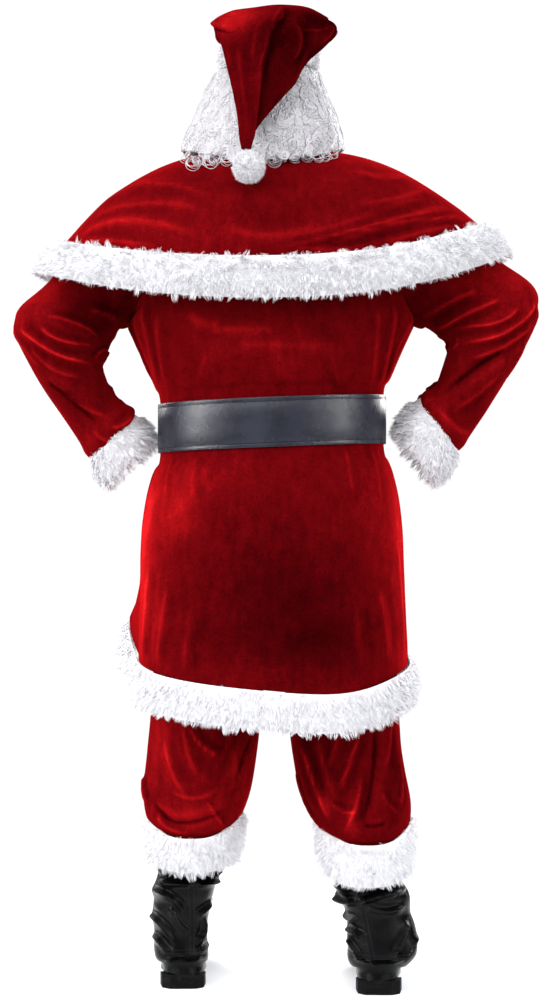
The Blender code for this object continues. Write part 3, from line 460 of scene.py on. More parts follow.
def fold_lift(places, out, row, bold):
    """How far one fold lifts each place, and the painted highlight on its ridge and painted shade in its trough."""
    start, middle, end = (np.array(row[i : i + 3]) / 1000 for i in (0, 3, 6))
    width, rise = row[9] / 1000 * 0.85, row[10] / 1000 * bold
    t = np.linspace(0, 1, 33)[:, None]
    line = start * (2 * (t - 0.5) * (t - 1)) + middle * (4 * t * (1 - t)) + end * (2 * t * (t - 0.5))
    slope = unit(np.gradient(line, axis=0))
    lift, pile = np.zeros(len(places)), np.zeros(len(places))
    reach = 3.2 * width + 0.05
    near = np.where(np.all((places > line.min(0) - reach) & (places < line.max(0) + reach), axis=1))[0]
    if not len(near):
        return lift, pile
    gap = places[near][:, None, :] - line[None]
    deep = np.einsum("ijk,ik->ij", gap, out[near])
    gap -= deep[..., None] * out[near][:, None, :]
    distance = np.linalg.norm(gap, axis=2)
    nearest = distance.argmin(1)
    pick = np.arange(len(near))
    ahead = dot(gap[pick, nearest], slope[nearest])
    across = gap[pick, nearest] - ahead[:, None] * slope[nearest]
    side = dot(np.cross(out[near], slope[nearest]), across)
    away = np.where(side < 0, -1, 1) * np.linalg.norm(across, axis=1) / width
    ridge = np.exp(-(np.abs(away) ** 1.6))
    trough = np.exp(-(((away - 1.6) / 0.9) ** 2))
    along = nearest / 32 + ahead / max(np.linalg.norm(np.diff(line, axis=0), axis=1).sum(), 1e-6)
    fade = ease(0, 0.18, along) * (1 - ease(0.74, 1, along))
    fade *= 1 - ease(0.025, 0.05, np.abs(deep[pick, nearest]))
    lift[near] = rise * fade * (ridge - 0.5 * trough)
    # a painted highlight along the ridge, and painted shade in the trough beside it
    painted_ridge_highlight = 1.1 * np.exp(-((away / 0.36) ** 2))
    pile[near] = np.sign(rise) * min(abs(rise) / 0.006, 1.2) * fade * (painted_ridge_highlight - 0.38 * trough)
    return lift, pile


def fold(piece, outward, rows, calm=None, sway=0.0012, patches=(), bold=1.35):
    """Lays folds on a piece, and a slight unevenness that no cloth is without. Ridges get painted highlights,
    troughs painted shade.
    """
    places = points(piece.data)
    out = outward(places)
    lifts = [fold_lift(places, out, row, bold) for row in rows]
    lift = sum(one for one, _ in lifts)
    pile = sum(one for _, one in lifts)
    lift += sway * np.array([noise.noise(Vector(p) * 9) + 0.35 * noise.noise(Vector(p) * 27) for p in places])
    if calm is not None:
        lift *= calm(places)
        pile *= calm(places)
    for *place, strength in patches:
        pile += strength * near_to(places, *place)
    note(piece.data, "pile", pile)
    move_to(piece, places + out * lift[:, None])
    print(piece.name, "folds:", len(rows), "highest rise in mm:", round(1000 * float(lift.max()), 1))


# %% [markdown]
# The inner wall of a garment is hardly ever seen, and neither are the trousers under the coat. A Decimate modifier
# with a vertex group takes most faces away there and leaves the outside alone.

# %% Fewer faces inside
def thin_out(piece, hidden, keep=0.10):
    """Leaves only a share of the faces round the hidden vertices, an array of true and false."""
    group = piece.vertex_groups.new(name="hidden")
    group.add(np.where(hidden)[0].tolist(), 1.0, "REPLACE")
    share = hidden.mean()
    fewer = piece.modifiers.new("fewer", "DECIMATE")
    fewer.vertex_group = "hidden"
    fewer.ratio = 1 - share * (1 - keep)
    apply(piece, "fewer")
    piece.vertex_groups.clear()


def inward(piece, outward):
    """Which vertices are on the inner wall, by their normals and the outward directions."""
    return dot(points(piece.data, "normal"), outward(points(piece.data))) < -0.35


# %% [markdown]
# ## The coat
#
# The coat is cut in a back and two fronts that meet edge to edge. A wide belt gathers it, so small puckers hang
# from the belt and rise above it, and the armpits pull two sheaves of folds towards the waist. Nothing moves
# under the belt, where the cloth is pressed flat.

# %% Coat panels
WAIST = -0.468
BELT_SLOPE = 0.04
BODY_AXIS = [(-0.12, 0, -0.7), (0.12, 0, -0.7)]


def round_body(places):
    """The coat's outward directions: level, and away from a short line across the body."""
    level = places.copy()
    level[:, 2] = -0.7
    return away_from(level, BODY_AXIS)


def coat_calm(places):
    """0 under the belt, 1 clear of it."""
    return ease(0.046, 0.066, np.abs(places[:, 2] - WAIST + BELT_SLOPE * places[:, 0]))


COAT_BACK_FOLDS = [
    (257, 19, -273, 244, 15, -330, 220, 1, -396, 12, 4),
    (235, 79, -242, 223, 82, -325, 210, 51, -399, 11, 3.5),
    (204, 110, -263, 204, 99, -335, 194, 80, -404, 13, 2.5),
    (-255, 27, -269, -230, 69, -324, -208, 27, -405, 12, 4),
    (-219, 99, -244, -212, 91, -331, -195, 65, -407, 11, 3.5),
    (-189, 123, -255, -187, 113, -336, -179, 87, -408, 13, 2.5),
    (223, 90, -719, 231, 82, -829, 236, 76, -905, 14, 3.5),
    (188, 132, -763, 203, 125, -850, 208, 121, -915, 15, 3),
    (147, 160, -800, 155, 160, -870, 157, 160, -925, 16, 2),
    (-227, 77, -682, -235, 68, -793, -241, 63, -903, 14, 3.5),
    (-192, 128, -763, -205, 120, -840, -211, 117, -905, 15, 3),
    (-149, 158, -789, -156, 158, -860, -160, 158, -920, 16, 2),
    (183, 80, -517, 190, 95, -563, 194, 115, -636, 8, 2),
    (138, 120, -522, 143, 132, -562, 144, 146, -618, 9, 1.6),
    (-132, 123, -513, -141, 136, -564, -144, 147, -627, 9, 1.8),
    (-179, 84, -505, -190, 95, -554, -198, 112, -645, 8, 2.2),
    (40, 148, -522, 41, 158, -555, 45, 168, -600, 9, 1.2),
    (-51, 147, -519, -56, 158, -555, -57, 169, -605, 9, 1.2),
    (166, 134, -265, 75, 160, -304, -32, 164, -289, 22, 2),
    (84, 156, -339, -32, 162, -331, -141, 139, -342, 20, 1.6),
    (130, 134, -392, 126, 140, -371, 119, 148, -339, 8, 1.4),
    (-123, 129, -406, -117, 141, -378, -105, 152, -343, 8, 1.4),
]
COAT_FRONT_LEFT_FOLDS = [
    (228, -119, -721, 238, -112, -810, 250, -80, -870, 14, 4),
    (181, -163, -721, 196, -166, -790, 210, -172, -850, 15, 4),
    (125, -193, -740, 134, -201, -810, 140, -206, -860, 16, 3.5),
    (258, -17, -275, 237, -69, -319, 213, -58, -396, 12, 4),
    (200, -131, -291, 172, -143, -347, 134, -160, -400, 14, 3.5),
    (172, -119, -525, 179, -137, -572, 191, -144, -646, 9, 2.2),
    (106, -169, -519, 112, -183, -572, 123, -186, -646, 9, 2.4),
    (41, -188, -525, 49, -200, -590, 60, -204, -684, 10, 2),
    (69, -185, -394, 88, -181, -347, 116, -173, -301, 12, 2.5),
    (60, -206, -721, 67, -211, -800, 72, -214, -865, 14, 2.5),
]
COAT_FRONT_RIGHT_FOLDS = [
    (-232, -78, -684, -239, -75, -796, -245, -78, -889, 14, 3.5),
    (-187, -149, -721, -198, -148, -810, -206, -146, -880, 15, 3.5),
    (-127, -188, -740, -136, -191, -820, -142, -190, -880, 16, 3),
    (-257, -22, -272, -230, -83, -319, -205, -60, -400, 12, 4),
    (-198, -132, -282, -168, -145, -344, -136, -157, -400, 14, 3.5),
    (-176, -116, -516, -183, -135, -572, -194, -137, -646, 9, 2.2),
    (-108, -170, -519, -116, -181, -572, -127, -184, -656, 9, 2.4),
    (-45, -189, -525, -52, -200, -590, -62, -204, -693, 10, 2),
    (-71, -185, -394, -90, -181, -344, -118, -172, -295, 12, 2.5),
    (-64, -205, -721, -71, -208, -800, -76, -209, -870, 14, 2.5),
]
# patches where the velvet is painted lighter or darker, for crushed pile and as painted light: a painted highlight
# on each side of the skirt and painted shade in its middle. Each gives its middle and two sizes in mm, and how much
COAT_PILE_AND_PAINTED_LIGHT = [
    (-20, 170, -765, 150, 120, -0.75),
    (-60, 170, -865, 120, 50, -0.55),
    (235, 60, -650, 45, 220, 1.5),
    (-235, 60, -650, 40, 220, 1.25),
    (172, 130, -620, 50, 70, 0.9),
    (205, 100, -820, 45, 90, 0.40),
    (-180, 120, -680, 40, 110, 0.40),
    (100, 160, -560, 120, 40, 0.20),
    (-130, 160, -250, 90, 60, -0.15),
    (60, 160, -300, 110, 90, 0.08),
    (0, 160, -400, 200, 40, -0.2),
    (225, 60, -330, 35, 90, -0.4),
    (-220, 60, -330, 35, 90, -0.5),
    (0, -200, -700, 110, 150, -0.3),
]
COAT_FOLDS = {
    "coat_back": COAT_BACK_FOLDS,
    "coat_front_left": COAT_FRONT_LEFT_FOLDS,
    "coat_front_right": COAT_FRONT_RIGHT_FOLDS,
}
COAT = {}
for name, rows in COAT_FOLDS.items():
    panel = cloth_of(name, f"{name}_velvet")
    fold(panel, round_body, rows, coat_calm, patches=COAT_PILE_AND_PAINTED_LIGHT)
    thin_out(panel, inward(panel, round_body))
    COAT[name] = dress(panel, VELVET, "velvet", name)

# %% [markdown]
# ## The sleeves
#
# With the hand on the hip, the elbow is bent sharply. The cloth of the bend has nowhere to go, so it bunches in
# the crook and sends long folds across the upper arm and the forearm, like rays from one knot.

# %% Sleeves
ARM_AXES = {
    "left": [(0.20, 0.0, -0.15), (0.385, 0.02, -0.30), (0.39, 0.02, -0.33), (0.29, 0.005, -0.50)],
    "right": [(-0.20, 0.0, -0.15), (-0.40, 0.02, -0.26), (-0.405, 0.02, -0.29), (-0.30, 0.005, -0.48)],
}
SLEEVE_LEFT_FOLDS = [
    (464, 61, -287, 406, 88, -335, 323, 53, -364, 9, 5.5),
    (424, 86, -289, 387, 93, -317, 317, 55, -327, 8, 4.5),
    (415, 84, -274, 351, 87, -289, 320, 66, -311, 8, 4),
    (337, 85, -261, 301, 76, -270, 280, 50, -280, 10, 4),
    (329, 64, -355, 317, 51, -336, 307, 14, -339, 5, 4.5),
    (307, 14, -339, 312, 4, -343, 318, 41, -363, 5, 4),
    (418, 58, -388, 371, 69, -425, 316, 65, -471, 13, -4.5),
    (305, 25, -395, 294, 1, -416, 273, 21, -432, 7, 3.5),
    (300, 60, -471, 284, 54, -468, 266, 30, -448, 7, 4.5),
    (449, 65, -324, 403, 82, -367, 338, 71, -385, 9, 3.5),
    (330, 60, -478, 312, 56, -490, 296, 44, -494, 8, 3),
    (390, 68, -411, 343, 70, -440, 294, 62, -458, 9, 3),
    (475, 4, -273, 461, 51, -323, 417, 69, -374, 10, 3.5),
    (461, -19, -291, 405, -49, -319, 331, -25, -351, 9, 5),
    (430, -36, -258, 368, -56, -291, 314, -24, -329, 9, 4.5),
    (331, -68, -235, 306, -60, -276, 299, 2, -312, 10, 4),
    (433, -31, -347, 377, -47, -370, 314, 13, -370, 8, 4),
    (405, -37, -394, 349, -48, -432, 288, -40, -445, 12, -4),
    (359, -42, -450, 321, -50, -478, 262, -8, -455, 8, 3.5),
]
SLEEVE_RIGHT_FOLDS = [
    (-485, 55, -240, -445, 83, -289, -337, 55, -331, 9, 5.5),
    (-451, 81, -252, -413, 91, -284, -332, 58, -296, 8, 4.5),
    (-421, 88, -240, -362, 85, -265, -288, 1, -288, 9, 4.5),
    (-323, 31, -309, -330, 1, -325, -332, 48, -334, 5, 4.5),
    (-332, 48, -334, -344, 67, -322, -337, 57, -307, 5, 4),
    (-427, 76, -334, -381, 79, -362, -310, 55, -415, 13, -4.5),
    (-310, 0, -386, -299, 1, -399, -289, 1, -406, 7, 3.5),
    (-283, 0, -414, -279, -3, -425, -304, 56, -458, 7, 4.5),
    (-480, 53, -286, -427, 81, -325, -349, 69, -355, 9, 4),
    (-377, 87, -225, -326, 80, -246, -275, 27, -271, 10, 3.5),
    (-419, 65, -374, -379, 68, -411, -328, 64, -447, 10, 3),
    (-310, 58, -434, -337, 57, -471, -367, 28, -483, 9, 3),
    (-466, 58, -305, -450, 40, -354, -402, 54, -410, 10, 3.5),
    (-482, -14, -245, -435, -46, -276, -351, -33, -310, 9, 5),
    (-448, -39, -291, -398, -46, -319, -336, -11, -333, 9, 4.5),
    (-370, -59, -217, -342, -55, -258, -314, -25, -295, 10, 4),
    (-426, -43, -333, -379, -46, -370, -314, -21, -394, 12, -4),
    (-389, -40, -413, -342, -51, -441, -295, -42, -445, 8, 3.5),
    (-463, -15, -319, -417, -38, -370, -370, -46, -422, 9, 3),
]
# the sleeves' patches of crushed pile and painted light, in the same columns: painted shade on the upper arm close
# to the body under the cape and on the inner forearm, a painted highlight at the outer elbow
ARM_PILE_AND_PAINTED_LIGHT = {
    "left": [
        (280, 40, -240, 70, 55, -0.6),
        (335, 60, -262, 50, 38, -0.7),
        (375, 50, -400, 38, 60, -0.25),
        (300, 50, -310, 45, 35, -0.3),
        (350, 60, -420, 45, 60, -0.3),
        (450, 30, -250, 60, 60, 0.5),
        (380, 40, -190, 50, 40, 0.5),
        (400, 40, -430, 30, 70, 0.3),
        (310, 40, -480, 50, 30, 0.3),
    ],
    "right": [
        (-275, 40, -230, 60, 50, -0.6),
        (-345, 60, -262, 45, 35, -0.3),
        (-300, 50, -290, 40, 35, -0.3),
        (-370, 60, -400, 45, 60, -0.3),
        (-460, 30, -230, 60, 60, 0.4),
        (-410, 40, -190, 50, 40, 0.3),
        (-420, 40, -420, 30, 70, 0.3),
    ],
}
# the middle of each sleeve's end and the way the arm goes on, and the elbow's point
SLEEVE_ENDS = {
    "left": ((0.299, 0.004, -0.4915), (-0.685, 0, -0.729), (0.485, 0.02, -0.288)),
    "right": ((-0.3125, 0.004, -0.469), (0.79, 0, -0.613), (-0.502, 0.02, -0.250)),
}


def bag_over(sleeve, side):
    """Lets the sleeve's end hang over the cuff in a soft roll, and rounds the point of the elbow."""
    end, hand, elbow = (np.array(values) for values in SLEEVE_ENDS[side])
    places = points(sleeve.data)
    out = away_from(places, ARM_AXES[side])
    along = (places - end) @ hand
    seen = ease(-0.2, 0.8, out[:, 1])
    roll = np.exp(-(((along + 0.012) / 0.012) ** 2)) * (0.002 + 0.005 * seen)
    point = np.exp(-(((places - elbow) / (0.014, 0.06, 0.014)) ** 2).sum(1)) * 0.005
    places += out * (roll - point)[:, None] + np.outer(ease(-0.035, 0.0, along) * 0.008 * seen, hand)
    move_to(sleeve, places)


SLEEVES = {}
for side, rows in (("left", SLEEVE_LEFT_FOLDS), ("right", SLEEVE_RIGHT_FOLDS)):
    sleeve = cloth_of(f"sleeve_{side}", f"sleeve_{side}_velvet")
    arm_out = partial(away_from, axis=ARM_AXES[side])
    fold(sleeve, arm_out, rows, patches=ARM_PILE_AND_PAINTED_LIGHT[side])
    bag_over(sleeve, side)
    thin_out(sleeve, inward(sleeve, arm_out))
    SLEEVES[side] = dress(sleeve, FLAT_VELVET, "velvet", f"sleeve_{side}")

# %% [markdown]
# ## The cape
#
# The cape is one flared piece that lies over the shoulders. It has no darts, so what is too much at the arms
# drifts across the back in long, nearly level folds.

# %% Cape
CAPE_AXIS = [(-0.22, 0, -0.34), (0.22, 0, -0.34)]
CAPE_CLOTH_FOLDS = [
    (-326, 85, -76, -203, 172, -115, 18, 198, -168, 8, 3.6),
    (-352, 84, -96, -245, 160, -113, -55, 196, -172, 7, 3.2),
    (-338, 117, -115, -275, 153, -130, -193, 182, -157, 8, 2.8),
    (-308, 79, -59, -140, 181, -112, 57, 195, -153, 12, 1.6),
    (355, 85, -130, 256, 147, -108, 119, 189, -145, 14, 3),
    (334, 78, -99, 239, 135, -76, 102, 182, -100, 16, 2.4),
    (350, 97, -142, 292, 142, -146, 182, 183, -166, 10, 2.6),
    (-30, 198, -158, -86, 197, -164, -180, 188, -160, 9, 2.4),
    (-287, 70, -40, -231, 136, -67, -140, 171, -80, 14, 2.6),
    (262, 70, -34, 194, 130, -39, 102, 173, -72, 16, 2),
    (-141, 126, -11, -205, 118, -28, -255, 62, -22, 13, 2),
    (84, 188, -118, 3, 195, -139, -104, 185, -113, 18, 2),
    (336, -101, -120, 228, -148, -90, 88, -193, -123, 12, 4),
    (303, -66, -58, 200, -131, -49, 69, -184, -95, 14, 3.5),
    (209, -59, -2, 125, -138, -30, 50, -177, -77, 13, 3),
    (-323, -83, -77, -220, -141, -71, -71, -194, -123, 12, 4),
    (-286, -66, -39, -192, -129, -39, -62, -179, -82, 14, 3.5),
    (-211, -57, 4, -136, -134, -26, -52, -171, -64, 13, 3),
]
# the cape's patches of crushed pile and painted light, in the same columns: a painted highlight on its left, where
# it faces the brighter lamp
CAPE_PILE_AND_PAINTED_LIGHT = [
    (0, 190, -40, 200, 45, 0.10),
    (230, 150, -110, 110, 60, 0.35),
    (60, 190, -140, 100, 40, 0.15),
    (-180, 150, -60, 90, 45, -0.15),
    (-280, 120, -110, 60, 45, 0.2),
]
cape = cloth_of("cape_cloth", "cape_velvet")
cape_out = partial(away_from, axis=CAPE_AXIS)
fold(cape, cape_out, CAPE_CLOTH_FOLDS, patches=CAPE_PILE_AND_PAINTED_LIGHT)
thin_out(cape, inward(cape, cape_out))
dress(cape, VELVET, "velvet", "cape_cloth")

# %% [markdown]
# ## The trousers
#
# The legs are wide and end in elastic, so the cloth bags over the fur bands: folds run down from the seat, meet
# the gathers of the elastic, and sag between them.

# %% Trousers
LEG_AXES = {
    "left": [(0.10, 0, -0.45), (0.115, -0.005, -0.9), (0.149, -0.022, -1.26)],
    "right": [(-0.10, 0, -0.45), (-0.12, 0.0, -0.9), (-0.1755, 0.008, -1.27)],
}
TROUSERS_LEFT_FOLDS = [
    (158, 90, -1010, 127, 88, -1058, 83, 72, -1083, 9, 4.5),
    (32, 29, -1036, 54, 46, -1089, 81, 52, -1172, 10, -5),
    (54, 45, -1093, 63, 50, -1122, 74, 55, -1147, 8, 4.5),
    (223, 30, -1162, 169, 61, -1202, 74, 47, -1169, 10, -4),
    (236, -8, -1124, 235, 3, -1150, 227, 25, -1177, 9, 4.5),
    (197, 59, -1042, 184, 67, -1105, 150, 77, -1159, 13, 3.5),
    (165, 88, -1008, 154, 84, -1067, 132, 85, -1121, 12, 3),
    (211, 40, -1186, 185, 50, -1214, 151, 58, -1221, 7, 3.5),
    (123, 77, -1159, 105, 63, -1189, 93, 36, -1220, 7, 3),
    (73, 78, -1009, 81, 76, -1049, 99, 80, -1089, 10, 3),
    (184, 66, -1142, 141, 81, -1155, 92, 71, -1132, 9, 3),
    (200, -80, -1039, 172, -107, -1104, 125, -111, -1169, 12, 4),
    (69, -95, -1048, 93, -107, -1113, 134, -112, -1179, 11, 4),
    (153, -107, -1011, 134, -116, -1067, 93, -108, -1104, 10, 3.5),
    (219, -67, -1169, 163, -106, -1203, 82, -91, -1169, 10, -4),
    (228, -42, -1095, 213, -75, -1151, 176, -105, -1197, 9, 3.5),
    (125, -102, -1207, 106, -102, -1184, 75, -75, -1192, 7, 3),
]
TROUSERS_RIGHT_FOLDS = [
    (-52, 58, -1046, -75, 77, -1113, -110, 75, -1205, 9, 5),
    (-157, 101, -1034, -142, 100, -1087, -119, 98, -1151, 9, 4.5),
    (-162, 98, -1111, -155, 101, -1160, -134, 84, -1219, 8, 4),
    (-188, 92, -1015, -186, 94, -1102, -164, 95, -1202, 10, -4.5),
    (-217, 66, -1013, -213, 79, -1058, -205, 84, -1103, 9, 3.5),
    (-168, 95, -1201, -186, 90, -1205, -209, 82, -1199, 6, -4),
    (-84, 89, -1039, -99, 92, -1102, -124, 97, -1166, 10, 3),
    (-45, 21, -1102, -61, 23, -1166, -92, 45, -1215, 9, 3.5),
    (-232, 55, -1088, -236, 63, -1133, -228, 75, -1181, 9, 4),
    (-124, 103, -1006, -117, 98, -1056, -102, 94, -1102, 10, 3),
    (-197, 90, -1139, -212, 83, -1169, -235, 67, -1188, 7, 3),
    (-106, 90, -1157, -133, 96, -1178, -164, 98, -1171, 7, 3),
    (-52, -54, -1057, -86, -76, -1123, -136, -81, -1192, 11, 4),
    (-211, -77, -1048, -183, -92, -1113, -136, -87, -1169, 11, 4),
    (-155, -100, -1011, -136, -98, -1067, -99, -86, -1110, 10, 3.5),
    (-62, -14, -1169, -127, -69, -1210, -220, -72, -1179, 10, -4),
    (-235, -46, -1104, -224, -72, -1154, -187, -83, -1197, 9, 3.5),
]


# the legs' patches of crushed pile and painted light, in the same columns: painted shade over the right leg and
# painted highlights on the crumples above its fur band
LEG_PILE_AND_PAINTED_LIGHT = {
    "left": [
        (66, 70, -1105, 15, 42, 0.9),
        (85, 70, -1070, 35, 60, -0.4),
        (205, 40, -1060, 35, 90, 0.4),
        (150, 80, -1190, 60, 30, 0.2),
    ],
    "right": [
        (-75, 60, -1080, 35, 90, -0.45),
        (-150, 95, -1080, 40, 90, 0.15),
        (-220, 60, -1100, 25, 80, -0.4),
        (-150, 80, -1100, 120, 160, -0.5),
        (-97, 90, -1168, 13, 30, 1.3),
        (-147, 95, -1185, 11, 45, 0.9),
        (-66, 75, -1110, 8, 45, 0.6),
    ],
}
# the middle of the end of each leg's velvet, where the elastic grips it
LEG_END = {"left": (0.149, -0.022, -1.226), "right": (-0.1755, 0.008, -1.234)}
LEG_HIDDEN = -0.80


def leg_calm(places):
    """1 on the legs, 0 under the coat."""
    return 1 - ease(LEG_HIDDEN, -0.72, places[:, 2])


def leg_side(places, side):
    """1 at a leg's left and right, 0 at its back and front."""
    level = places[:, :2] - LEG_END[side][:2]
    return level[:, 0] ** 2 / np.maximum((level**2).sum(1), 1e-9)


TROUSERS = {}
for side, rows in (("left", TROUSERS_LEFT_FOLDS), ("right", TROUSERS_RIGHT_FOLDS)):
    half = cloth_of(f"trousers_{side}", f"trousers_{side}_velvet")
    leg_out = partial(away_from, axis=LEG_AXES[side])
    fold(half, leg_out, rows, leg_calm, patches=LEG_PILE_AND_PAINTED_LIGHT[side])
    places = points(half.data)
    above_end = places[:, 2] - LEG_END[side][2]
    over = 0.011 * (1 - leg_side(places, side)) * np.exp(-(((above_end - 0.017) / 0.017) ** 2))
    move_to(half, places + leg_out(places) * over[:, None])
    thin_out(half, inward(half, leg_out) | (places[:, 2] > LEG_HIDDEN), 0.15)
    TROUSERS[side] = dress(half, FLAT_VELVET, "velvet", f"trousers_{side}")

waistband = cloth_of("trousers_waistband", "waistband_velvet", levels=2)
dress(waistband, FLAT_VELVET, "velvet", "trousers_waistband")

# %% [markdown]
# ## The hat
#
# The crown is a cone of velvet. Its point falls down the back, and where it turns over, the left half lies over
# the right in one deep fold that runs all the way to the pompom.

# %% Hat crown
HAT_AXIS = [
    (0, -0.06, 0.20),
    (-0.005, 0.02, 0.255),
    (-0.003, 0.11, 0.245),
    (0.0, 0.142, 0.20),
    (0.02, 0.165, 0.13),
    (0.043, 0.182, 0.05),
    (0.046, 0.188, 0.015),
]
HAT_CROWN_FOLDS = [
    (-36, 158, 252, -45, 166, 205, -34, 170, 176, 5, 3.5),
    (-46, 162, 237, -77, 158, 234, -103, 147, 246, 4, 3.5),
    (-99, 147, 249, -103, 151, 232, -83, 158, 207, 4, 3.5),
    (104, 90, 250, 92, 132, 240, 60, 160, 226, 6, -5),
    (61, 167, 207, 52, 179, 151, 44, 193, 68, 8, 2),
    (-68, 163, 208, -50, 164, 167, -23, 169, 122, 9, 1.8),
    (18, 157, 254, 29, 172, 215, 36, 179, 174, 9, 1.8),
    (-20, 120, 290, -8, 150, 262, 2, 165, 240, 7, 3.0),
    (59, 0, 301, 19, -96, 288, -52, -65, 299, 9, 4),
    (88, -57, 276, 41, -107, 265, -24, -116, 275, 8, 3.5),
    (-108, -46, 276, -75, -71, 288, -34, -107, 280, 8, 3.5),
]
# places that the crown's weight has pulled: x and z, the reach both ways, and how far along x and z, in mm
HAT_PULLS = [
    (-108, 304, 28, 26, 0, -14),
    (-112, 248, 16, 14, -5, 0),
    (-22, 145, 26, 26, -8, 0),
    (45, 314, 32, 26, 0, -5),
    (118, 281, 12, 8, -5, 0),
    (112, 264, 12, 5, -3, 0),
    (106, 253, 14, 6, 3, 0),
]
# where the left layer's edge lies over the right one: x at each z, in mm
HAT_LAP = [(36, 20), (22, 99), (16, 169), (-2, 235), (-22, 262)]
# the hat's patches of crushed pile and painted light, in the same columns: a painted highlight at its top left,
# painted shade at its top right and beside the lap
HAT_PILE_AND_PAINTED_LIGHT = [
    (70, 160, 255, 45, 30, 0.98),
    (50, 175, 120, 30, 90, -0.30),
    (60, 165, 205, 40, 18, -0.30),
    (-50, 165, 210, 45, 50, -0.80),
    (-5, 175, 130, 26, 60, -0.60),
    (-84, 130, 263, 42, 24, -1.3),
    (-8, 165, 222, 22, 40, -0.45),
    (-100, 120, 240, 30, 24, -0.40),
    (20, 160, 235, 24, 22, -0.35),
    (20, 100, 305, 90, 18, -0.35),
    (55, 135, 280, 55, 20, 0.75),
]
crown = cloth_of("hat_crown", "hat_velvet", sharp=60)
places = points(crown.data)
for x, z, wide, high, along, up in HAT_PULLS:
    near = np.exp(-(((places[:, 0] * 1000 - x) / wide) ** 2) - ((places[:, 2] * 1000 - z) / high) ** 2) / 1000
    places[:, 0] += along * near
    places[:, 2] += up * near
places[:, 0] += 0.004 * ease(0.085, 0.110, places[:, 0]) * (places[:, 2] > 0.19)
move_to(crown, places)

# the cone's two side corners are soft rolls, not points
corners = (places[:, 2] > 0.19) & ((places[:, 0] > 0.074) | (places[:, 0] < -0.092))
crown.data.vertices.foreach_set("select", corners)
with editing(crown, None):
    bpy.ops.mesh.select_mode(type="VERT")
    bpy.ops.mesh.vertices_smooth(factor=0.5, repeat=22)
before, places = places, points(crown.data)
print("corners rounded by", round(float(np.abs(places - before).max() * 1000), 1), "mm")

# the left layer stands over the right one along the lap
hat_out = partial(away_from, axis=HAT_AXIS)
lap_x, lap_z = np.array(HAT_LAP).T / 1000
past = places[:, 0] - np.interp(places[:, 2], lap_z, lap_x)
over = ease(-0.002, 0.002, past)
shown = ease(0.10, 0.13, places[:, 1]) * ease(0.015, 0.05, places[:, 2])
shown *= 1 - ease(0.255, 0.285, places[:, 2])
step = over * 0.0035 * np.exp(-((past / 0.026) ** 2)) - (1 - over) * 0.005 * np.exp(-((past / 0.020) ** 2))
move_to(crown, places + hat_out(places) * (step * shown)[:, None])
fold(crown, hat_out, HAT_CROWN_FOLDS, sway=0.0010, patches=HAT_PILE_AND_PAINTED_LIGHT)
# along the lap, a painted highlight on the upper layer's edge and painted shade on the layer under it
pile = np.empty(len(past))
crown.data.attributes["pile"].data.foreach_get("value", pile)
pile += shown * over * 0.55 * np.exp(-((past / 0.006) ** 2))
pile -= shown * (1 - over) * 0.75 * np.exp(-((past / 0.013) ** 2))
note(crown.data, "pile", pile)
thin_out(crown, inward(crown, hat_out))
dress(crown, HAT_VELVET_PAINTED_SHADE, "velvet", "hat_crown")

# %% [markdown]
# ## Long white fur
#
# Faux fur is a knitted backing with thousands of fine hairs. They cling together in locks, so the surface is not
# a flat brush but many small tufts that lean one way. One hair is modelled by hand as a tapering blade of three
# faces. Arrays of numbers then plant it over the backing, bend each copy, and pull its tip towards its lock.

# %% One hair
def model_hair():
    bpy.ops.object.select_all(action="DESELECT")
    bpy.ops.mesh.primitive_plane_add(size=1, location=(0, 0.5, 0))
    hair = bpy.context.object
    bpy.ops.object.transform_apply(location=True)
    with editing(hair):
        bpy.ops.transform.resize(value=(1, 0.55, 1), center_override=(0, 0, 0))
    for vertex in hair.data.vertices:
        vertex.select = vertex.co.y > 0.3
    for edge in hair.data.edges:
        edge.select = all(hair.data.vertices[v].select for v in edge.vertices)
    for face in hair.data.polygons:
        face.select = False
    with editing(hair, None):
        bpy.ops.mesh.select_mode(type="EDGE")
        bpy.ops.mesh.extrude_region_move(TRANSFORM_OT_translate={"value": (0, 0.45, 0)})
        bpy.ops.mesh.merge(type="CENTER")
    return shape_of(hair)


HAIR, HAIR_FACES = model_hair()
print("one hair:", len(HAIR), "points,", len(HAIR_FACES), "faces", HAIR.round(2).tolist())

# %% [markdown]
# White fur is never one white. It is greyer at the roots, where little light reaches, and each lock differs a
# little from its neighbour, so every hair carries two numbers: how far along it a point is, and its lock's shade.

# %% Fur finish
def fur_finish():
    tint = (0.95, 0.97, 1, 1)
    fur = Finish("white_fur", Roughness=0.85, Sheen_Weight=0.35, Sheen_Roughness=0.5, Sheen_Tint=tint)
    along, lock = fur.attribute("along"), fur.attribute("lock")
    white = fur.mix(along.between(0.0, 0.6), (0.77, 0.765, 0.785, 1), (0.80, 0.795, 0.815, 1))
    fur.set(Base_Color=fur.mix(lock * 0.10, white, (0.68, 0.68, 0.72, 1)))
    return fur.material


def backing_finish():
    backing = Finish("fur_backing", Roughness=0.95)
    where = backing.place()
    tufts = backing.cloud(where, 160, 3.0, 0.6)
    fine = backing.cloud(where, 600, 2.0)
    backing.set(
        Base_Color=backing.mix(tufts.between(0.3, 0.7), (0.74, 0.735, 0.76, 1), (0.79, 0.785, 0.81, 1)),
        Normal=backing.bump(tufts * 0.7 + fine * 0.3, 0.003, 0.5),
    )
    return backing.material


FUR = fur_finish()
BACKING = backing_finish()

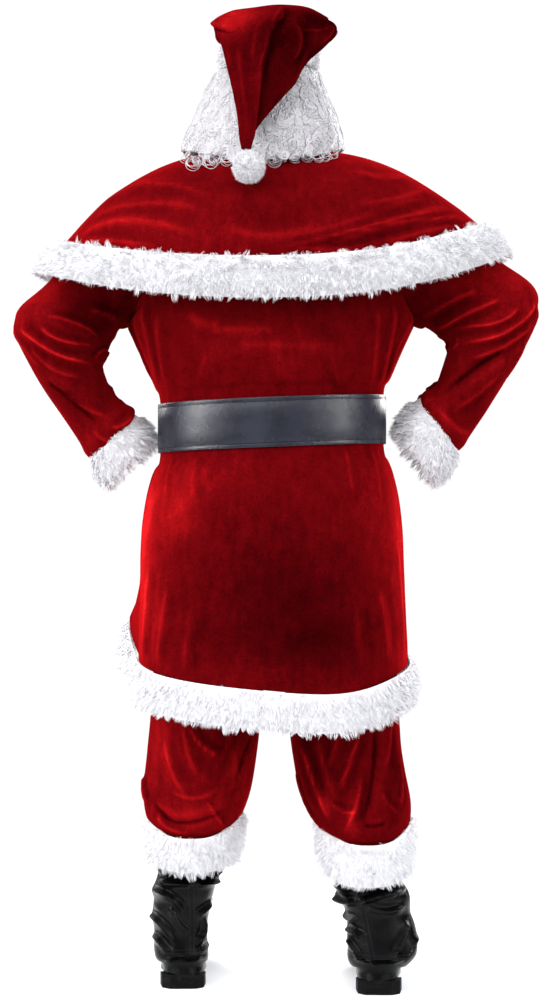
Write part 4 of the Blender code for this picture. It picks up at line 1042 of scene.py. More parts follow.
# %% Planting hairs
def roots_on(mesh, count, rng, outward, bare):
    """Places all over a mesh, and their normals: few on the side that faces inwards, none where it is bare."""
    mesh.calc_loop_triangles()
    corners = np.array([triangle.vertices for triangle in mesh.loop_triangles])
    places, normals = points(mesh), points(mesh, "normal")
    a, b, c = (places[corners[:, i]] for i in range(3))
    middle = (a + b + c) / 3
    area = np.linalg.norm(np.cross(b - a, c - a), axis=1) / 2
    if outward is not None:
        area = area * np.where(dot(unit(normals[corners].mean(1)), outward(middle)) > -0.25, 1.0, 0.12)
    if bare is not None:
        area = area * ~bare(middle)
    chosen = rng.choice(len(corners), count, p=area / area.sum())
    u, v = rng.random(count), rng.random(count)
    flip = u + v > 1
    u[flip], v[flip] = 1 - u[flip], 1 - v[flip]
    share = np.stack([1 - u - v, u, v], 1)[:, :, None]
    return (places[corners[chosen]] * share).sum(1), unit((normals[corners[chosen]] * share).sum(1))


def plant(
    name, backing, count, length, width, seed,
    comb=(0, 0, 0), lean=0.35, outward=None, crisp=0.0, pull=0.72, bare=None
):
    """Hairs all over a backing. comb: the way they lean; crisp: how much of the part against the comb is cut."""
    rng = np.random.default_rng(seed)
    root, normal = roots_on(backing.data, count, rng, outward, bare)
    comb = np.asarray(comb, float)
    edge = ease(0.25, 0.75, np.abs(normal @ comb))
    against = np.minimum(normal @ comb, 0) * crisp
    standing = unit(normal - against[:, None] * comb)
    # locks: each hair belongs to the nearest of some of the roots
    locks = rng.choice(count, max(count // 20, 4), replace=False)
    tree = kdtree.KDTree(len(locks))
    for i, one in enumerate(locks):
        tree.insert(root[one], i)
    tree.balance()
    own = np.array([tree.find(place)[1] for place in root])
    lock_turn = rng.normal(0, 1, (len(locks), 3)) * (0.13 + 0.19 * edge[locks])[:, None]
    lock_long = rng.uniform(0.72, 1.35, len(locks))
    lock_shade = rng.random(len(locks))
    way = unit(standing * (1 - lean) + comb * lean + lock_turn[own] + rng.normal(0, 0.10, (count, 3)))
    full = length * (0.72 + 0.34 * edge - 0.36 * ease(0.25, 0.75, -normal @ comb))
    long = full * lock_long[own] * rng.uniform(0.75, 1.12, count)
    tip = root + way * long[:, None]
    lock_way = unit(standing[locks] * (1 - lean) + comb * (lean + 0.1) + lock_turn)
    lock_tip = root[locks] + lock_way * (full[locks] * lock_long)[:, None]
    gather = (pull * (0.55 + 0.45 * edge) * rng.uniform(0.45, 1.0, count))[:, None]
    tip = tip * (1 - gather) + lock_tip[own] * gather
    bend = root + unit(standing * 0.6 + way) * (long * 0.5)[:, None]
    side = unit(np.cross(tip - root, normal) + rng.normal(0, 0.35 * length, (count, 3)))
    side[dot(np.cross(side, tip - root), normal) < 0] *= -1
    s = HAIR[:, 1][None, :, None]
    curve = root[:, None] * (1 - s) ** 2 + bend[:, None] * 2 * s * (1 - s) + tip[:, None] * s**2
    across = HAIR[:, 0][None, :, None] * (1 - 0.35 * s) * width * rng.uniform(0.7, 1.3, count)[:, None, None]
    piece = copies(name, HAIR, HAIR_FACES, curve + side[:, None, :] * across)
    note(piece.data, "along", np.tile(HAIR[:, 1], count))
    note(piece.data, "lock", np.repeat(lock_shade[own], len(HAIR)))
    piece.data.shade_smooth()
    piece.data.materials.append(FUR)
    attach(piece, "root")
    print(name, "hairs:", count, "triangles:", 3 * count)
    return piece


def backing_of(node, levels, sink):
    """The fur's backing: the solid's shape, rounded and shrunk by part of the hairs' length."""
    piece = copy_of(node, f"{node}_backing")
    smooth(piece, levels, through=False)
    shrink(piece, sink)
    return dress(piece, BACKING, "plush", node)


# %% [markdown]
# The hem's band hangs straight, so its hairs lean down and its seam with the velvet stays crisp. The cape's band
# is wilder: hairs spill over the velvet above it as well as below.

# %% Fur bands of the coat and the cape
DOWN = (0, 0, -1)
TRIMS = {}
hem = backing_of("coat_hem_trim", 2, 0.0035)
hairs = plant("hem_fur", hem, 30000, 0.017, 0.0011, 11, DOWN, 0.42, round_body, crisp=0.9)
TRIMS["hem"] = [hem, hairs]
cape_band = backing_of("cape_trim", 2, 0.0035)
hairs = plant("cape_fur", cape_band, 40000, 0.018, 0.0011, 12, DOWN, 0.30, round_body, crisp=0.1)
TRIMS["cape"] = [cape_band, hairs]

# %% [markdown]
# The cuffs are fur all round, and their hairs lean towards the hand. At the end of a leg the elastic rides up at
# the sides, so the band hangs in a shallow U.

# %% Cuffs and leg bands
for side, way, seed in (("left", (-0.55, 0, -0.83), 21), ("right", (0.58, 0, -0.81), 22)):
    cuff = backing_of(f"cuff_{side}", 2, 0.0015)
    arm_out = partial(away_from, axis=ARM_AXES[side])
    hand = np.array(way) / np.linalg.norm(way)
    places = points(cuff.data)
    along = places @ hand
    start = along.min()
    back = 1 - ease(start, start + 0.030, along)
    move_to(cuff, places - np.outer(back * 0.010, way) - arm_out(places) * (back * 0.002)[:, None])
    hairs = plant(
        f"cuff_{side}_fur", cuff, 9000, 0.016, 0.0011, seed, hand, 0.38, arm_out,
        crisp=0.9, pull=0.5, bare=lambda p: p @ hand < start + 0.004
    )
    TRIMS[f"cuff_{side}"] = [cuff, hairs]


def sag_band(backing, side):
    places = points(backing.data)
    end = LEG_END[side][2]
    rise = leg_side(places, side) ** 1.5
    top = ease(end - 0.040, end - 0.008, places[:, 2])
    places[:, 2] += rise * (0.014 + 0.026 * top)
    move_to(backing, places + away_from(places, LEG_AXES[side]) * (rise * top * 0.002)[:, None])


for side, seed in (("left", 31), ("right", 32)):
    band = backing_of(f"leg_trim_{side}", 2, 0.0035)
    sag_band(band, side)
    foot = tuple(np.array(LEG_AXES[side][-1]) - (0, 0, 0.1))
    leg_out = partial(away_from, axis=LEG_AXES[side] + [foot])
    hairs = plant(f"leg_{side}_fur", band, 11000, 0.017, 0.0011, seed, DOWN, 0.36, leg_out, crisp=0.9)
    TRIMS[f"leg_{side}"] = [band, hairs]

# %% [markdown]
# The pompom is a bundle of the same fur, cut to a ball. The hat's band sits under the curls at the back, so all of
# its hairs are in front.

# %% Pompom and hat band
pompom = backing_of("hat_pompom", 1, 0.0055)
hairs = plant("pompom_fur", pompom, 5500, 0.0095, 0.0010, 41, lean=0.0, pull=0.25)
TRIMS["pompom"] = [pompom, hairs]
hat_band = backing_of("hat_band", 2, 0.003)
places = points(hat_band.data)
places[:, 0] += 0.013 * ease(0.02, 0.09, -places[:, 0])
move_to(hat_band, places)
head_out = partial(away_from, axis=[(0, 0, 0.10), (0, 0, 0.25)])
hairs = plant(
    "hat_band_fur", hat_band, 5500, 0.014, 0.0011, 42, DOWN, 0.15, head_out, bare=lambda p: p[:, 1] > 0.04
)
TRIMS["hat_band"] = [hat_band, hairs]

# %% [markdown]
# ## The wig
#
# The wig is made of crimped synthetic hair: ringlets that hang from a net cap. A Screw modifier would wind a strand
# into a coil, but every coil would be alike. So one strand is modelled as a straight flat ribbon, and arrays bend
# each copy into a flattened coil of its own. Four strands make a lock, locks cover a base that carries the fine
# crimp, and loose ends curl round on the cape.

# %% One strand
def model_strand(steps):
    """A flat ribbon of unit length, 2 wide: its points as (share of the length, -1 or 1), and its faces."""
    bpy.ops.object.select_all(action="DESELECT")
    bpy.ops.mesh.primitive_grid_add(x_subdivisions=steps, y_subdivisions=1, size=2)
    strip = bpy.context.object
    with editing(strip):
        bpy.ops.transform.resize(value=(0.5, 1, 1), center_override=(1, 0, 0))
    return shape_of(strip)


STRAND, STRAND_FACES = model_strand(36)
print("one strand:", len(STRAND), "points,", len(STRAND_FACES), "faces")

# %% [markdown]
# The curls are painted whiter at their ends than at their roots: painted shade where the roots lie among the
# other curls. The base under them is painted darker in its furrows, as painted shade, where a wave pattern stands
# for the finest crimp.

# %% Curl finish
def curl_finish():
    curls = Finish("white_curls", Roughness=0.38, Sheen_Weight=0.2, Sheen_Roughness=0.4)
    along, lock = curls.attribute("along"), curls.attribute("lock")
    # painted shade at the roots: darker there than at the ends
    white = curls.mix(along.between(0.0, 0.6), (0.53, 0.515, 0.54, 1), (0.60, 0.59, 0.61, 1))
    curls.set(Base_Color=curls.mix(lock * 0.3, white, (0.44, 0.425, 0.47, 1)), Roughness=0.34 + lock * 0.25)
    return curls.material


def wig_base_finish():
    base = Finish("crimped_hair", Roughness=0.5, Sheen_Weight=0.2)
    where = base.place()
    wavy = base.node(
        "ShaderNodeTexWave",
        {"wave_type": "BANDS", "bands_direction": "DIAGONAL"},
        {"Vector": where, "Scale": 45.0, "Distortion": 16.0, "Detail": 2.0, "Detail Scale": 1.6},
    )
    depth = base.cloud(where, 70, 2.0)
    # the wave pattern's furrows and the cloud's low places are painted darker, as painted shade in the crimp
    base.set(
        Base_Color=base.mix(wavy * 0.6 + depth * 0.4, (0.36, 0.35, 0.38, 1), (0.65, 0.64, 0.665, 1)),
        Normal=base.bump(wavy, 0.003, 0.8),
    )
    return base.material


CURLS = curl_finish()
WIG_BASE = wig_base_finish()

# %% [markdown]
# Each strand is worked out on a flat table first and then laid on the wig: `hug` takes every point to the nearest
# place on the base, and `clear_of_cape` lifts what would sink into the cape.

# %% Curls on the wig
wig_base = copy_of("wig_curls", "wig_base")
smooth(wig_base, 2, through=False)
shrink(wig_base, 0.004)
places = points(wig_base.data)
places[:, 2] += 0.016 * ease(0.160, 0.180, places[:, 2]) - 0.010 * (1 - ease(0.030, 0.060, places[:, 2]))
places[:, 0] += 0.004 * ease(0.090, 0.160, places[:, 2]) * ease(0.02, 0.09, -places[:, 0])
places[:, 0] += 0.009 * ease(0.110, 0.165, places[:, 2]) * ease(0.02, 0.08, places[:, 0])
move_to(wig_base, places)
dress(wig_base, WIG_BASE, "curls", "wig_curls")


def surface(*pieces):
    """A tree that finds where a ray meets these pieces, and the nearest place on them."""
    verts, polys = [], []
    for piece in pieces:
        first = len(verts)
        verts.extend(v.co.copy() for v in piece.data.vertices)
        polys.extend(tuple(first + k for k in face.vertices) for face in piece.data.polygons)
    return BVHTree.FromPolygons(verts, polys)


CAPE_SURFACE = surface(cape)
WIG_SURFACE = surface(wig_base, hat_band)


def lay_strand(path, out, width):
    """A ribbon along a path, with its flat side outwards."""
    ahead = unit(np.gradient(path, axis=0))
    across = unit(np.cross(ahead, out))
    return path + across * (STRAND[:, 1] * width / 2)[:, None]


def strand_path(u, place, down, across, long, radius, loops, phase, hand):
    """A coil that opens towards its end, flattened as on a table, and its height above the table."""
    turn = phase + hand * 2 * math.pi * loops * u
    open_up = radius * (0.80 + 0.30 * u)
    along = long * u + open_up * 0.9 * np.sin(turn)
    flat = place + np.outer(along, down) + np.outer(open_up * np.cos(turn), across)
    return flat, 0.0006 + open_up * 0.12 * (1 + np.sin(turn + 0.9))


def hug(path, rise, out):
    """Lays a flat path on the wig, at its height above it. Below the wig's rim it hangs free."""
    outs = np.tile(out, (len(path), 1))
    for i, place in enumerate(path):
        near, normal, _, _ = WIG_SURFACE.find_nearest(Vector(place))
        hold = float(ease(0.010, 0.034, place[2]))
        outs[i] = out * (1 - hold) + np.array(normal) * hold
        path[i] = place * (1 - hold) + np.array(near) * hold + outs[i] * rise[i] * (0.3 + 0.7 * abs(outs[i][1]))
    return path, outs


def clear_of_cape(path, gap=0.004):
    """Lifts the low places of a path off the cape."""
    for i in np.where(path[:, 2] < 0.045)[0]:
        near, normal, _, _ = CAPE_SURFACE.find_nearest(Vector(path[i]))
        depth = (Vector(path[i]) - near).dot(normal)
        if normal.z > -0.2 and depth < gap:
            path[i] += np.array(normal) * (gap - depth)
    return path


class Tresses:
    """Collects strands, and makes one piece of them."""

    def __init__(self):
        self.places, self.along, self.lock = [], [], []

    def add(self, path, out, width, shade):
        self.places.append(lay_strand(path, out, width))
        self.along.append(STRAND[:, 0])
        self.lock.append(np.full(len(STRAND), shade))

    def finish(self, name):
        piece = copies(name, STRAND, STRAND_FACES, self.places)
        note(piece.data, "along", np.concatenate(self.along))
        note(piece.data, "lock", np.concatenate(self.lock))
        piece.data.shade_smooth()
        piece.data.materials.append(CURLS)
        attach(piece, "root")
        print(name, "strands:", len(self.places), "triangles:", 2 * len(piece.data.polygons))


def curl_locks(bases, count, seed):
    """Locks of four strands, which cover the wig and turn every way but mostly down."""
    rng = np.random.default_rng(seed)
    faces = [face for base in bases for face in base.data.polygons]
    centre = np.array([f.center for f in faces])
    normal = np.array([f.normal for f in faces])
    area = np.array([f.area for f in faces])
    outer = dot(normal, unit(centre * (1, 1, 0))) > 0.1
    weight = area * outer * np.where(centre[:, 2] < 0.10, 1.2, 1.0)
    chosen = rng.choice(len(faces), count, p=weight / weight.sum())
    tresses, u = Tresses(), STRAND[:, 0]
    for place, out in zip(centre[chosen], normal[chosen]):
        place = place + rng.normal(0, 0.004, 3)
        down = np.array((0, 0, -1.0)) + rng.normal(0, 0.45, 3)
        down -= out * (down @ out)
        down /= np.linalg.norm(down)
        across = np.cross(down, out)
        long = min(rng.uniform(0.010, 0.026), max(0.006, (place[2] - 0.012) / max(-down[2], 0.3)))
        radius, phase, shade = rng.uniform(0.0042, 0.0082), rng.uniform(0, 2 * math.pi), rng.random()
        loops, hand = rng.uniform(1.5, 2.9), rng.choice((-1, 1))
        for strand in range(4):
            below = 0.0013 * (strand - 1.5)
            start = place + across * rng.normal(0, 0.0012) + down * (below + rng.normal(0, 0.0006))
            own_long, own_radius = long * rng.uniform(0.9, 1.1), radius * rng.uniform(0.80, 1.18)
            own_phase = phase + rng.normal(0, 0.15)
            flat, rise = strand_path(u, start, down, across, own_long, own_radius, loops, own_phase, hand)
            path, outs = hug(flat, rise, out)
            tresses.add(clear_of_cape(path), outs, rng.uniform(0.0008, 0.0013), shade)
    return tresses


def loose_rings(tresses, rows, seed):
    """Round end curls that lie on the back of the cape, below the wig: x, z and radius in mm."""
    rng = np.random.default_rng(seed)
    shape, u = surface(cape, wig_base), STRAND[:, 0]
    for x, z, radius in rows:
        for strand in range(5):
            r = radius / 1000 * rng.uniform(0.78, 1.12)
            turn = rng.uniform(0, 0.8) + 2 * math.pi * 1.35 * u
            wide = x / 1000 + r * np.cos(turn) + rng.normal(0, 0.0012)
            high = z / 1000 + r * np.sin(turn) * 0.9
            path, outs = np.zeros((len(u), 3)), np.zeros((len(u), 3))
            for i in range(len(u)):
                hit, normal, _, _ = shape.ray_cast(Vector((wide[i], 0.6, high[i])), Vector((0, -1, 0)))
                lift = 0.0035 + 0.0035 * math.sin(turn[i] + strand) + 0.0008 * strand
                if hit is None:
                    path[i], outs[i] = (wide[i], 0.15, high[i]), (0, 1, 0)
                else:
                    path[i], outs[i] = np.array(hit) + np.array(normal) * lift, normal
            tresses.add(path, outs, 0.0010, rng.random())


tresses = curl_locks([wig_base, hat_band], 600, 7)
RINGS = [
    (143, 0, 13), (134, 6, 10), (112, 0, 12), (104, 5, 10), (82, 4, 10), (60, 4, 9), (-5, 2, 12),
    (-14, 8, 10), (-40, 8, 10), (-64, 10, 10), (-82, 12, 12), (-96, 14, 10), (156, 16, 10), (-112, 20, 9),
]
loose_rings(tresses, RINGS, 5)
tresses.finish("wig_ringlets")

# %% [markdown]
# Inside the wig, a cap of elastic net carries the curls. The edges of cells make its threads, and the holes
# between them are painted darker: painted shade of the wig's inside.

# %% Net cap
def net_finish():
    net = Finish("elastic_net", Roughness=0.9)
    threads = 1 - net.cells(net.place(), 260).between(0.0, 0.12)
    # the holes between the threads are painted darker: painted shade of the wig's inside
    net.set(
        Base_Color=net.mix(threads, (0.42, 0.40, 0.38, 1), (0.78, 0.76, 0.74, 1)),
        Normal=net.bump(threads, 0.001, 0.8),
    )
    return net.material


cap = copy_of("wig_cap", "wig_cap_net")
smooth(cap, 1)
dress(cap, net_finish(), "net", "wig_cap")

# %% [markdown]
# ## Faux leather
#
# The belt and the boots are polyester cloth under a film of black plastic. The film is smooth and polished on
# the belt, and softer on the boots, where bending has drawn fine wrinkles into it.

# %% Leatherette
def leather_finish(name, black, gloss, shine, wrinkle):
    leather = Finish(name, Specular_IOR_Level=gloss)
    where = leather.place()
    grain = leather.cells(where, 900)
    waves = leather.cloud(where, 60, 3.0, 0.6, 0.8)
    smear = leather.cloud(where, 14, 2.0)
    dull = tuple(c * 1.8 + 0.002 for c in black[:3]) + (1,)
    leather.set(
        Base_Color=leather.mix(smear.between(0.35, 0.75), black, dull),
        Roughness=shine + smear * 0.12 + waves * 0.06,
        Normal=leather.bump(waves, 0.004, wrinkle, under=leather.bump(grain.between(0.0, 0.25), 0.0003, 0.3)),
    )
    return leather.material


BELT_LEATHER = leather_finish("belt_leather", (0.012, 0.013, 0.021, 1), 0.60, 0.18, 0.08)
BOOT_LEATHER = leather_finish("boot_leather", (0.0012, 0.0012, 0.0014, 1), 0.10, 0.03, 0.16)

# %% [markdown]
# ## The belt
#
# A wide strap, sewn along both edges. Cutting planes add lines of points along the strap, the middle one of each
# three is pressed in as a stitched channel, and small rounded stitches lie in it.

# %% Belt strap
CHANNEL = 0.0375  # from the strap's middle to a stitched channel
BELT_UP = Vector((BELT_SLOPE, 0, 1)).normalized()
BELT_MIDDLE = Vector((0, 0, WAIST))
strap = copy_of("belt_strap", "belt_leather_strap")
for offset in (0.012, CHANNEL - 0.002, CHANNEL, CHANNEL + 0.002):
    for line in (offset, -offset):
        with editing(strap):
            bpy.ops.mesh.bisect(plane_co=BELT_MIDDLE + BELT_UP * line, plane_no=BELT_UP)
places = points(strap.data)
height = np.abs((places - np.array(BELT_MIDDLE)) @ np.array(BELT_UP))
strap_out = round_body(places)
outer = dot(points(strap.data, "normal"), strap_out) > 0.3
press = np.where(outer & (np.abs(height - CHANNEL) < 0.0004), -0.0009, 0.0)
press += np.where(outer & (height > CHANNEL + 0.0015), -0.0002, 0.0)
move_to(strap, places + strap_out * press[:, None])
bevel(strap, 0.0007, 2, 50)
dress(strap, BELT_LEATHER, "leatherette", "belt_strap")

# %% [markdown]
# One stitch is a short bar with rounded ends. Copies of it follow a line on the surface, and each is turned to
# lie along the line.

# %% Belt stitches
def model_stitch(length, radius):
    bpy.ops.object.select_all(action="DESELECT")
    turn = (0, math.radians(90), 0)
    bpy.ops.mesh.primitive_cylinder_add(vertices=6, radius=radius, depth=length * 0.7, rotation=turn)
    stitch = bpy.context.object
    bpy.ops.object.transform_apply(rotation=True)
    with editing(stitch, "DESELECT"):
        bpy.ops.mesh.select_mode(type="FACE")
    for face in stitch.data.polygons:
        face.select = abs(face.normal.x) > 0.9
    with editing(stitch, None):
        bpy.ops.mesh.inset(thickness=radius * 0.45, depth=length * 0.15)
    return shape_of(stitch)


STITCH, STITCH_FACES = model_stitch(0.0042, 0.00055)


def thread_finish():
    thread = Finish("black_thread", Roughness=0.6, Specular_IOR_Level=0.15)
    waves = {"Vector": thread.place(), "Scale": 900.0, "Distortion": 1.0, "Detail": 1.0}
    twist = thread.node("ShaderNodeTexWave", values=waves)
    thread.set(
        Base_Color=thread.mix(twist, (0.004, 0.004, 0.005, 1), (0.016, 0.017, 0.020, 1)),
        Normal=thread.bump(twist, 0.0002, 0.6),
    )
    return thread.material


THREAD = thread_finish()


def sew(name, lines, pitch):
    """Stitches along lines of (place, outward direction), all copies of the one stitch."""
    stitches = []
    for line, out in lines:
        travelled = np.concatenate([[0], np.cumsum(np.linalg.norm(np.diff(line, axis=0), axis=1))])

        def read(rows, where):
            return np.array([np.interp(where, travelled, rows[:, k]) for k in range(3)])

        for where in np.arange(pitch / 2, travelled[-1], pitch):
            at = read(line, where)
            ahead = read(line, where + 0.002) - at
            if np.linalg.norm(ahead) < 1e-5:
                continue
            ahead /= np.linalg.norm(ahead)
            up = read(out, where)
            up -= ahead * (up @ ahead)
            up /= np.linalg.norm(up)
            stitches.append(at + STITCH @ np.stack([ahead, np.cross(up, ahead), up]))
    dress(copies(name, STITCH, STITCH_FACES, stitches), THREAD, "leatherette")


def channel_line(offset):
    """The outermost points along the strap at one height, in order round the body, and the directions out."""
    columns = {}
    for x, y, _ in points(frame["nodes"]["belt_strap"].data):
        column = round(math.degrees(math.atan2(y * 1.4, x)) / 3)
        far = math.hypot(x, y * 1.4)
        if column not in columns or far > columns[column][0]:
            columns[column] = (far, x, y)
    line = [(x, y, WAIST - BELT_SLOPE * x + offset) for _, (far, x, y) in sorted(columns.items())]
    line = np.array(line + line[:1])
    return line - round_body(line) * 0.0004, round_body(line)


sew("belt_stitches", [channel_line(CHANNEL), channel_line(-CHANNEL)], 0.0062)

# %% [markdown]
# ## Buckle, pin and hook
#
# These are plain castings with a gold-coloured finish. A small bevel on every edge catches the light, and the
# finish is a little worn, so its roughness varies.

# %% Metal pieces
def gilt_finish():
    gilt = Finish("gilt_metal", Metallic=1.0)
    where = gilt.place()
    worn = gilt.cloud(where, 90, 4.0, 0.65)
    fine = gilt.cloud(gilt.place((1, 1, 12)), 300, 1.0)
    gilt.set(
        Base_Color=gilt.mix(worn.between(0.4, 0.8), (0.80, 0.58, 0.24, 1), (0.66, 0.50, 0.25, 1)),
        Roughness=0.22 + worn * 0.2,
        Normal=gilt.bump(fine, 0.0002, 0.2),
    )
    return gilt.material


GILT = gilt_finish()
for node, width in (("belt_buckle", 0.0014), ("belt_pin", 0.0005), ("cape_clasp", 0.0004)):
    metal = copy_of(node, f"{node}_gilt")
    bevel(metal, width, 3, 40)
    dress(metal, GILT, "gilt", node)

# %% [markdown]
# ## The boots
#
# Each boot has a soft shaft that has slouched down in folds, a firmer foot, and a moulded sole. A welt runs down
# the back of the shaft, with a row of stitches on each side.

# %% Boot shafts and feet
SHAFT_AXES = {
    "left": [(0.166, -0.040, -1.46), (0.1715, -0.038, -1.40), (0.16, -0.030, -1.32), (0.149, -0.022, -1.24)],
    "right": [(-0.199, 0.014, -1.46), (-0.2045, 0.013, -1.41), (-0.188, 0.01, -1.346), (-0.176, 0.008, -1.248)],
}
BOOT_SHAFT_LEFT_FOLDS = [
    (211, -2, -1324, 178, 23, -1320, 143, 23, -1320, 6, 5),
    (141, 23, -1322, 123, 11, -1321, 103, -28, -1320, 6, 5),
    (219, -16, -1338, 186, 21, -1349, 164, 20, -1379, 6, 3.5),
    (224, -35, -1389, 205, 4, -1402, 182, 17, -1439, 7, 3.5),
    (220, -31, -1422, 205, 2, -1436, 190, 15, -1454, 6, 3),
    (142, 11, -1382, 127, -3, -1375, 115, -25, -1359, 6, 3.5),
    (142, 7, -1432, 129, -9, -1420, 126, -7, -1386, 7, 3.5),
    (140, 8, -1452, 131, -5, -1447, 122, -34, -1439, 5, 3),
    (210, -20, -1300, 190, 16, -1305, 152, 27, -1311, 6, 3.5),
    (134, 23, -1300, 112, 6, -1305, 103, -4, -1290, 6, 3.5),
    (190, 16, -1363, 171, 20, -1399, 153, 14, -1410, 6, 2.5),
    (201, -2, -1463, 159, 15, -1464, 127, -12, -1463, 3, 2),
    (213, -67, -1338, 172, -94, -1366, 125, -69, -1371, 6, 3.5),
    (112, -38, -1356, 144, -88, -1384, 200, -86, -1397, 7, 3.5),
    (217, -63, -1412, 172, -98, -1431, 123, -68, -1420, 7, 3),
]
BOOT_SHAFT_RIGHT_FOLDS = [
    (-122, 2, -1346, -140, 49, -1351, -156, 66, -1345, 6, 5),
    (-162, 66, -1350, -199, 67, -1335, -246, 14, -1328, 6, 5),
    (-124, 1, -1319, -137, 45, -1328, -158, 60, -1316, 5, 4),
    (-135, 42, -1303, -148, 54, -1313, -162, 60, -1301, 4, 3.5),
    (-195, 60, -1301, -206, 60, -1320, -225, 50, -1325, 6, 3.5),
    (-141, 16, -1402, -155, 49, -1407, -175, 66, -1416, 6, 3.5),
    (-143, 24, -1421, -155, 49, -1440, -166, 55, -1461, 6, 3),
    (-250, 44, -1385, -235, 66, -1422, -219, 72, -1450, 7, 3.5),
    (-266, 21, -1410, -249, 55, -1439, -232, 58, -1460, 6, 3.5),
    (-173, 68, -1353, -208, 67, -1366, -246, 43, -1358, 7, 3),
    (-139, 2, -1376, -145, 34, -1384, -162, 56, -1379, 6, 3),
    (-154, 44, -1455, -196, 72, -1460, -240, 48, -1455, 3, 2),
    (-127, -18, -1338, -183, -45, -1366, -243, -25, -1352, 6, 3.5),
    (-142, 2, -1393, -183, -43, -1416, -254, -24, -1403, 7, 3.5),
    (-146, -14, -1430, -202, -46, -1436, -256, -16, -1430, 7, 3),
]
# places where the slouched shaft stands out: x, y, z, reach and height of the place in mm, and how far out
SHAFT_BULGES = {
    "left": [
        (95, -20, -1300, 40, 16, 8),
        (95, 20, -1320, 30, 14, 4),
        (122, 0, -1455, 30, 16, 7),
        (212, 0, -1455, 30, 16, 7),
    ],
    "right": [
        (-130, 30, -1300, 40, 18, 6),
        (-155, 20, -1455, 30, 16, 7),
        (-245, 20, -1455, 30, 16, 7),
    ],
}
SHAFTS = {}
for side, rows in (("left", BOOT_SHAFT_LEFT_FOLDS), ("right", BOOT_SHAFT_RIGHT_FOLDS)):
    shaft = cloth_of(f"boot_shaft_{side}", f"boot_shaft_{side}_leather")
    places = points(shaft.data)
    shaft_out = partial(away_from, axis=SHAFT_AXES[side])
    out = shaft_out(places)
    for *place, amount in SHAFT_BULGES[side]:
        places += out * (amount / 1000 * near_to(places, *place))[:, None]
    places[:, 2] -= 0.008 * (1 - ease(-1.462, -1.415, places[:, 2]))
    move_to(shaft, places)
    fold(shaft, shaft_out, rows, sway=0.0022, bold=2.7)
    thin_out(shaft, inward(shaft, shaft_out), 0.12)
    SHAFTS[side] = dress(shaft, BOOT_LEATHER, "leatherette", f"boot_shaft_{side}")

    foot = cloth_of(f"boot_foot_{side}", f"boot_foot_{side}_leather", sharp=60, levels=2)
    places = points(foot.data)
    middle = (places[:, 0].min() + places[:, 0].max()) / 2
    heel = places[:, 1].max()
    back = ease(heel - 0.11, heel - 0.07, places[:, 1])
    low = 1 - ease(-1.494, -1.480, places[:, 2])
    narrower = 1 - 0.12 * (1 - ease(heel - 0.16, heel - 0.10, places[:, 1]))
    places[:, 0] = middle + (places[:, 0] - middle) * (1 + back * (0.19 + 0.45 * low)) * narrower
    places[:, 1] += 0.016 * low * ease(heel - 0.05, heel - 0.02, places[:, 1])
    places[:, 2] -= 0.008 * low * back
    move_to(foot, places)
    dress(foot, BOOT_LEATHER, "leatherette", f"boot_foot_{side}")

# %% [markdown]
# A welt of folded leatherette covers the seam down the back of each shaft, and a row of stitches runs on both
# sides of it and round the lower hem. The welt is a curve with a round section, turned into a mesh. Rays shot at
# the shaft find where it lies.

# %% Back seams
def on_surface(tree, starts, aims):
    """The places where rays from starts towards aims meet a piece, and its outward directions there."""
    line, outs = [], []
    for start, aim in zip(starts, aims):
        ray = (Vector(aim) - Vector(start)).normalized()
        hit, normal, _, _ = tree.ray_cast(Vector(start), ray)
        if hit is not None:
            line.append(hit)
            outs.append(normal if normal.dot(ray) < 0 else -normal)
    return np.array(line), np.array(outs)


def welt(name, line, radius):
    curve = bpy.data.curves.new(name, "CURVE")
    curve.dimensions = "3D"
    curve.bevel_depth, curve.bevel_resolution, curve.use_fill_caps = radius, 2, True
    spline = curve.splines.new("POLY")
    spline.points.add(len(line) - 1)
    for point, place in zip(spline.points, line):
        point.co = (*place, 1)
    only(new_piece(name, curve))
    bpy.ops.object.convert(target="MESH")
    dress(bpy.context.object, BOOT_LEATHER, "leatherette")


BACK_SEAMS = {
    "left": [(152, -1262), (152, -1290), (150, -1340), (148, -1400), (149, -1452)],
    "right": [(-160, -1262), (-156, -1300), (-163, -1346), (-172, -1390), (-182, -1440), (-186, -1456)],
}
for side, shaft in SHAFTS.items():
    tree = surface(shaft)
    rows = np.array(BACK_SEAMS[side]) / 1000
    z = np.linspace(rows[0, 1], rows[-1, 1], 60)
    x = np.interp(-z, -rows[:, 1], rows[:, 0])
    starts = np.stack([x, np.full(60, 0.4), z], 1)
    line, outs = on_surface(tree, starts, starts - (0, 1, 0))
    welt(f"boot_welt_{side}", line - outs * 0.0004, 0.0014)
    lines = []
    for beside in (-0.0045, 0.0045):
        moved = starts + (beside, 0, 0)
        lines.append(on_surface(tree, moved, moved - (0, 1, 0)))
    turn = np.linspace(0, 2 * math.pi, 90)
    ankle_x, ankle_y, _ = SHAFT_AXES[side][0]
    for height in (-1.452, -1.446):
        ring = np.stack([ankle_x + 0.3 * np.cos(turn), ankle_y + 0.3 * np.sin(turn), np.full(90, height)], 1)
        lines.append(on_surface(tree, ring, np.tile((ankle_x, ankle_y, height), (90, 1))))
    sew(f"boot_stitches_{side}", lines, 0.0060)

# %% [markdown]
# The sole is matte rubber. It is wider under the heel than at the waist of the foot, and its upper edge rises a
# little towards the back.

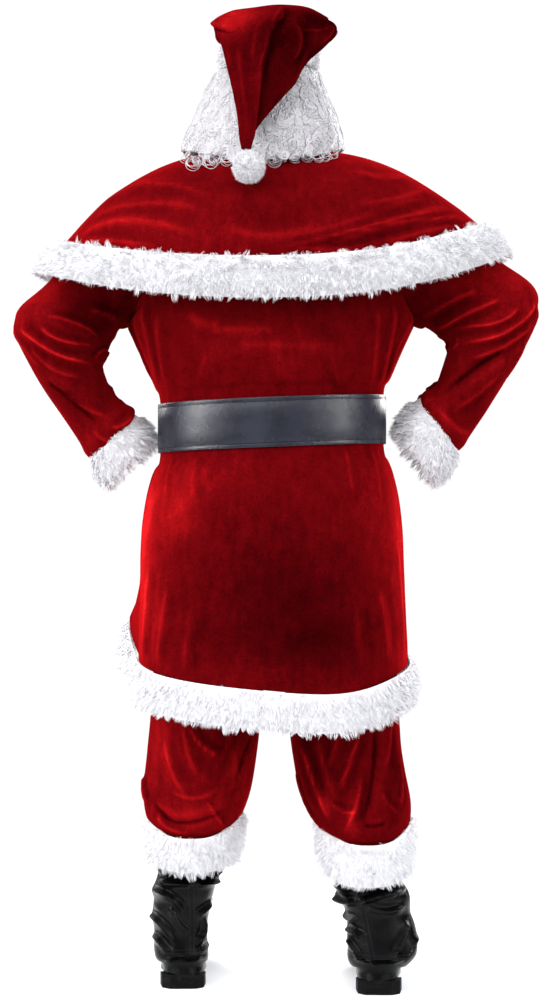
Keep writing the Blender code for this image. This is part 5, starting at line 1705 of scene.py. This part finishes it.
# %% Soles
def rubber_finish():
    rubber = Finish("sole_rubber", Specular_IOR_Level=0.06)
    where = rubber.place()
    scuff = rubber.cloud(where, 110, 4.0, 0.7)
    bands = {"Vector": where, "Scale": 120.0, "Distortion": 0.0, "Detail": 0.0}
    ribs = rubber.node("ShaderNodeTexWave", {"bands_direction": "Z"}, bands)
    rubber.set(
        Base_Color=rubber.mix(scuff.between(0.45, 0.8), (0.003, 0.003, 0.0033, 1), (0.012, 0.012, 0.012, 1)),
        Roughness=0.5 + scuff * 0.25,
        Normal=rubber.bump(ribs, 0.0008, 0.4),
    )
    return rubber.material


RUBBER = rubber_finish()
for side in ("left", "right"):
    sole = copy_of(f"boot_sole_{side}", f"boot_sole_{side}_rubber")
    places = points(sole.data)
    middle, heel = (places[:, 0].min() + places[:, 0].max()) / 2, places[:, 1].max()
    wider = 0.90 + 0.12 * ease(heel - 0.10, heel - 0.06, places[:, 1])
    wider += 0.10 * ease(heel - 0.14, heel - 0.10, places[:, 1])
    places[:, 0] = middle + (places[:, 0] - middle) * wider
    top = ease(places[:, 2].max() - 0.006, places[:, 2].max() - 0.002, places[:, 2])
    places[:, 2] += 0.006 * top * ease(heel - 0.07, heel - 0.05, places[:, 1])
    move_to(sole, places)
    bevel(sole, 0.0016, 3, 40)
    dress(sole, RUBBER, "rubber", f"boot_sole_{side}")

# %% [markdown]
# ## The floor's finish, and what the cloth was cut from
#
# The floor gets a faint unevenness, so that it isn't one flat colour, and thins out into the white background far
# from the suit, as a lit sheet of paper does. A table then lists what size each panel of cloth was cut to before it
# was sewn and worn.

# %% Floor finish
paper = Finish("studio_paper", Roughness=0.9)
where = paper.place()
far = paper.node("ShaderNodeVectorMath", {"operation": "LENGTH"}, {0: where}, out="Value")
paper.set(
    Base_Color=paper.mix(paper.cloud(where, 3.0), (0.89, 0.90, 0.91, 1), (0.92, 0.925, 0.93, 1)),
    Alpha=1 - far.between(1.75, 2.6),
)
floor.data.materials.append(paper.material)

# %% Cloth and its cut
# piece, width and length of the cut and its area, how it is held, what it lies on, its trims
SHEETS = [
    (COAT["coat_back"], (0.70, 0.98), 0.61, "hung", ["belt_strap"], TRIMS["hem"]),
    (COAT["coat_front_left"], (0.37, 0.97), 0.30, "hung", ["belt_strap"], []),
    (COAT["coat_front_right"], (0.37, 0.97), 0.30, "hung", ["belt_strap"], []),
    (SLEEVES["left"], (0.45, 0.60), 0.22, "gathered", ["coat_back"], TRIMS["cuff_left"]),
    (SLEEVES["right"], (0.45, 0.60), 0.22, "gathered", ["coat_back"], TRIMS["cuff_right"]),
    (cape, (1.02, 0.52), 0.40, "draped", ["coat_back"], TRIMS["cape"]),
    (TROUSERS["left"], (0.64, 0.90), 0.48, "gathered", ["trousers_waistband"], TRIMS["leg_left"]),
    (TROUSERS["right"], (0.64, 0.90), 0.48, "gathered", ["trousers_waistband"], TRIMS["leg_right"]),
    (crown, (0.66, 0.46), 0.165, "draped", ["wig_cap"], TRIMS["hat_band"] + TRIMS["pompom"]),
]

# %% Sizes, and the end
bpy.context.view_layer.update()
total = sum(
    sum(len(face.vertices) - 2 for face in piece.data.polygons)
    for piece in bpy.data.objects
    if piece.type == "MESH" and "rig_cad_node" not in piece and piece is not floor
)
print("triangles of the pieces:", total)
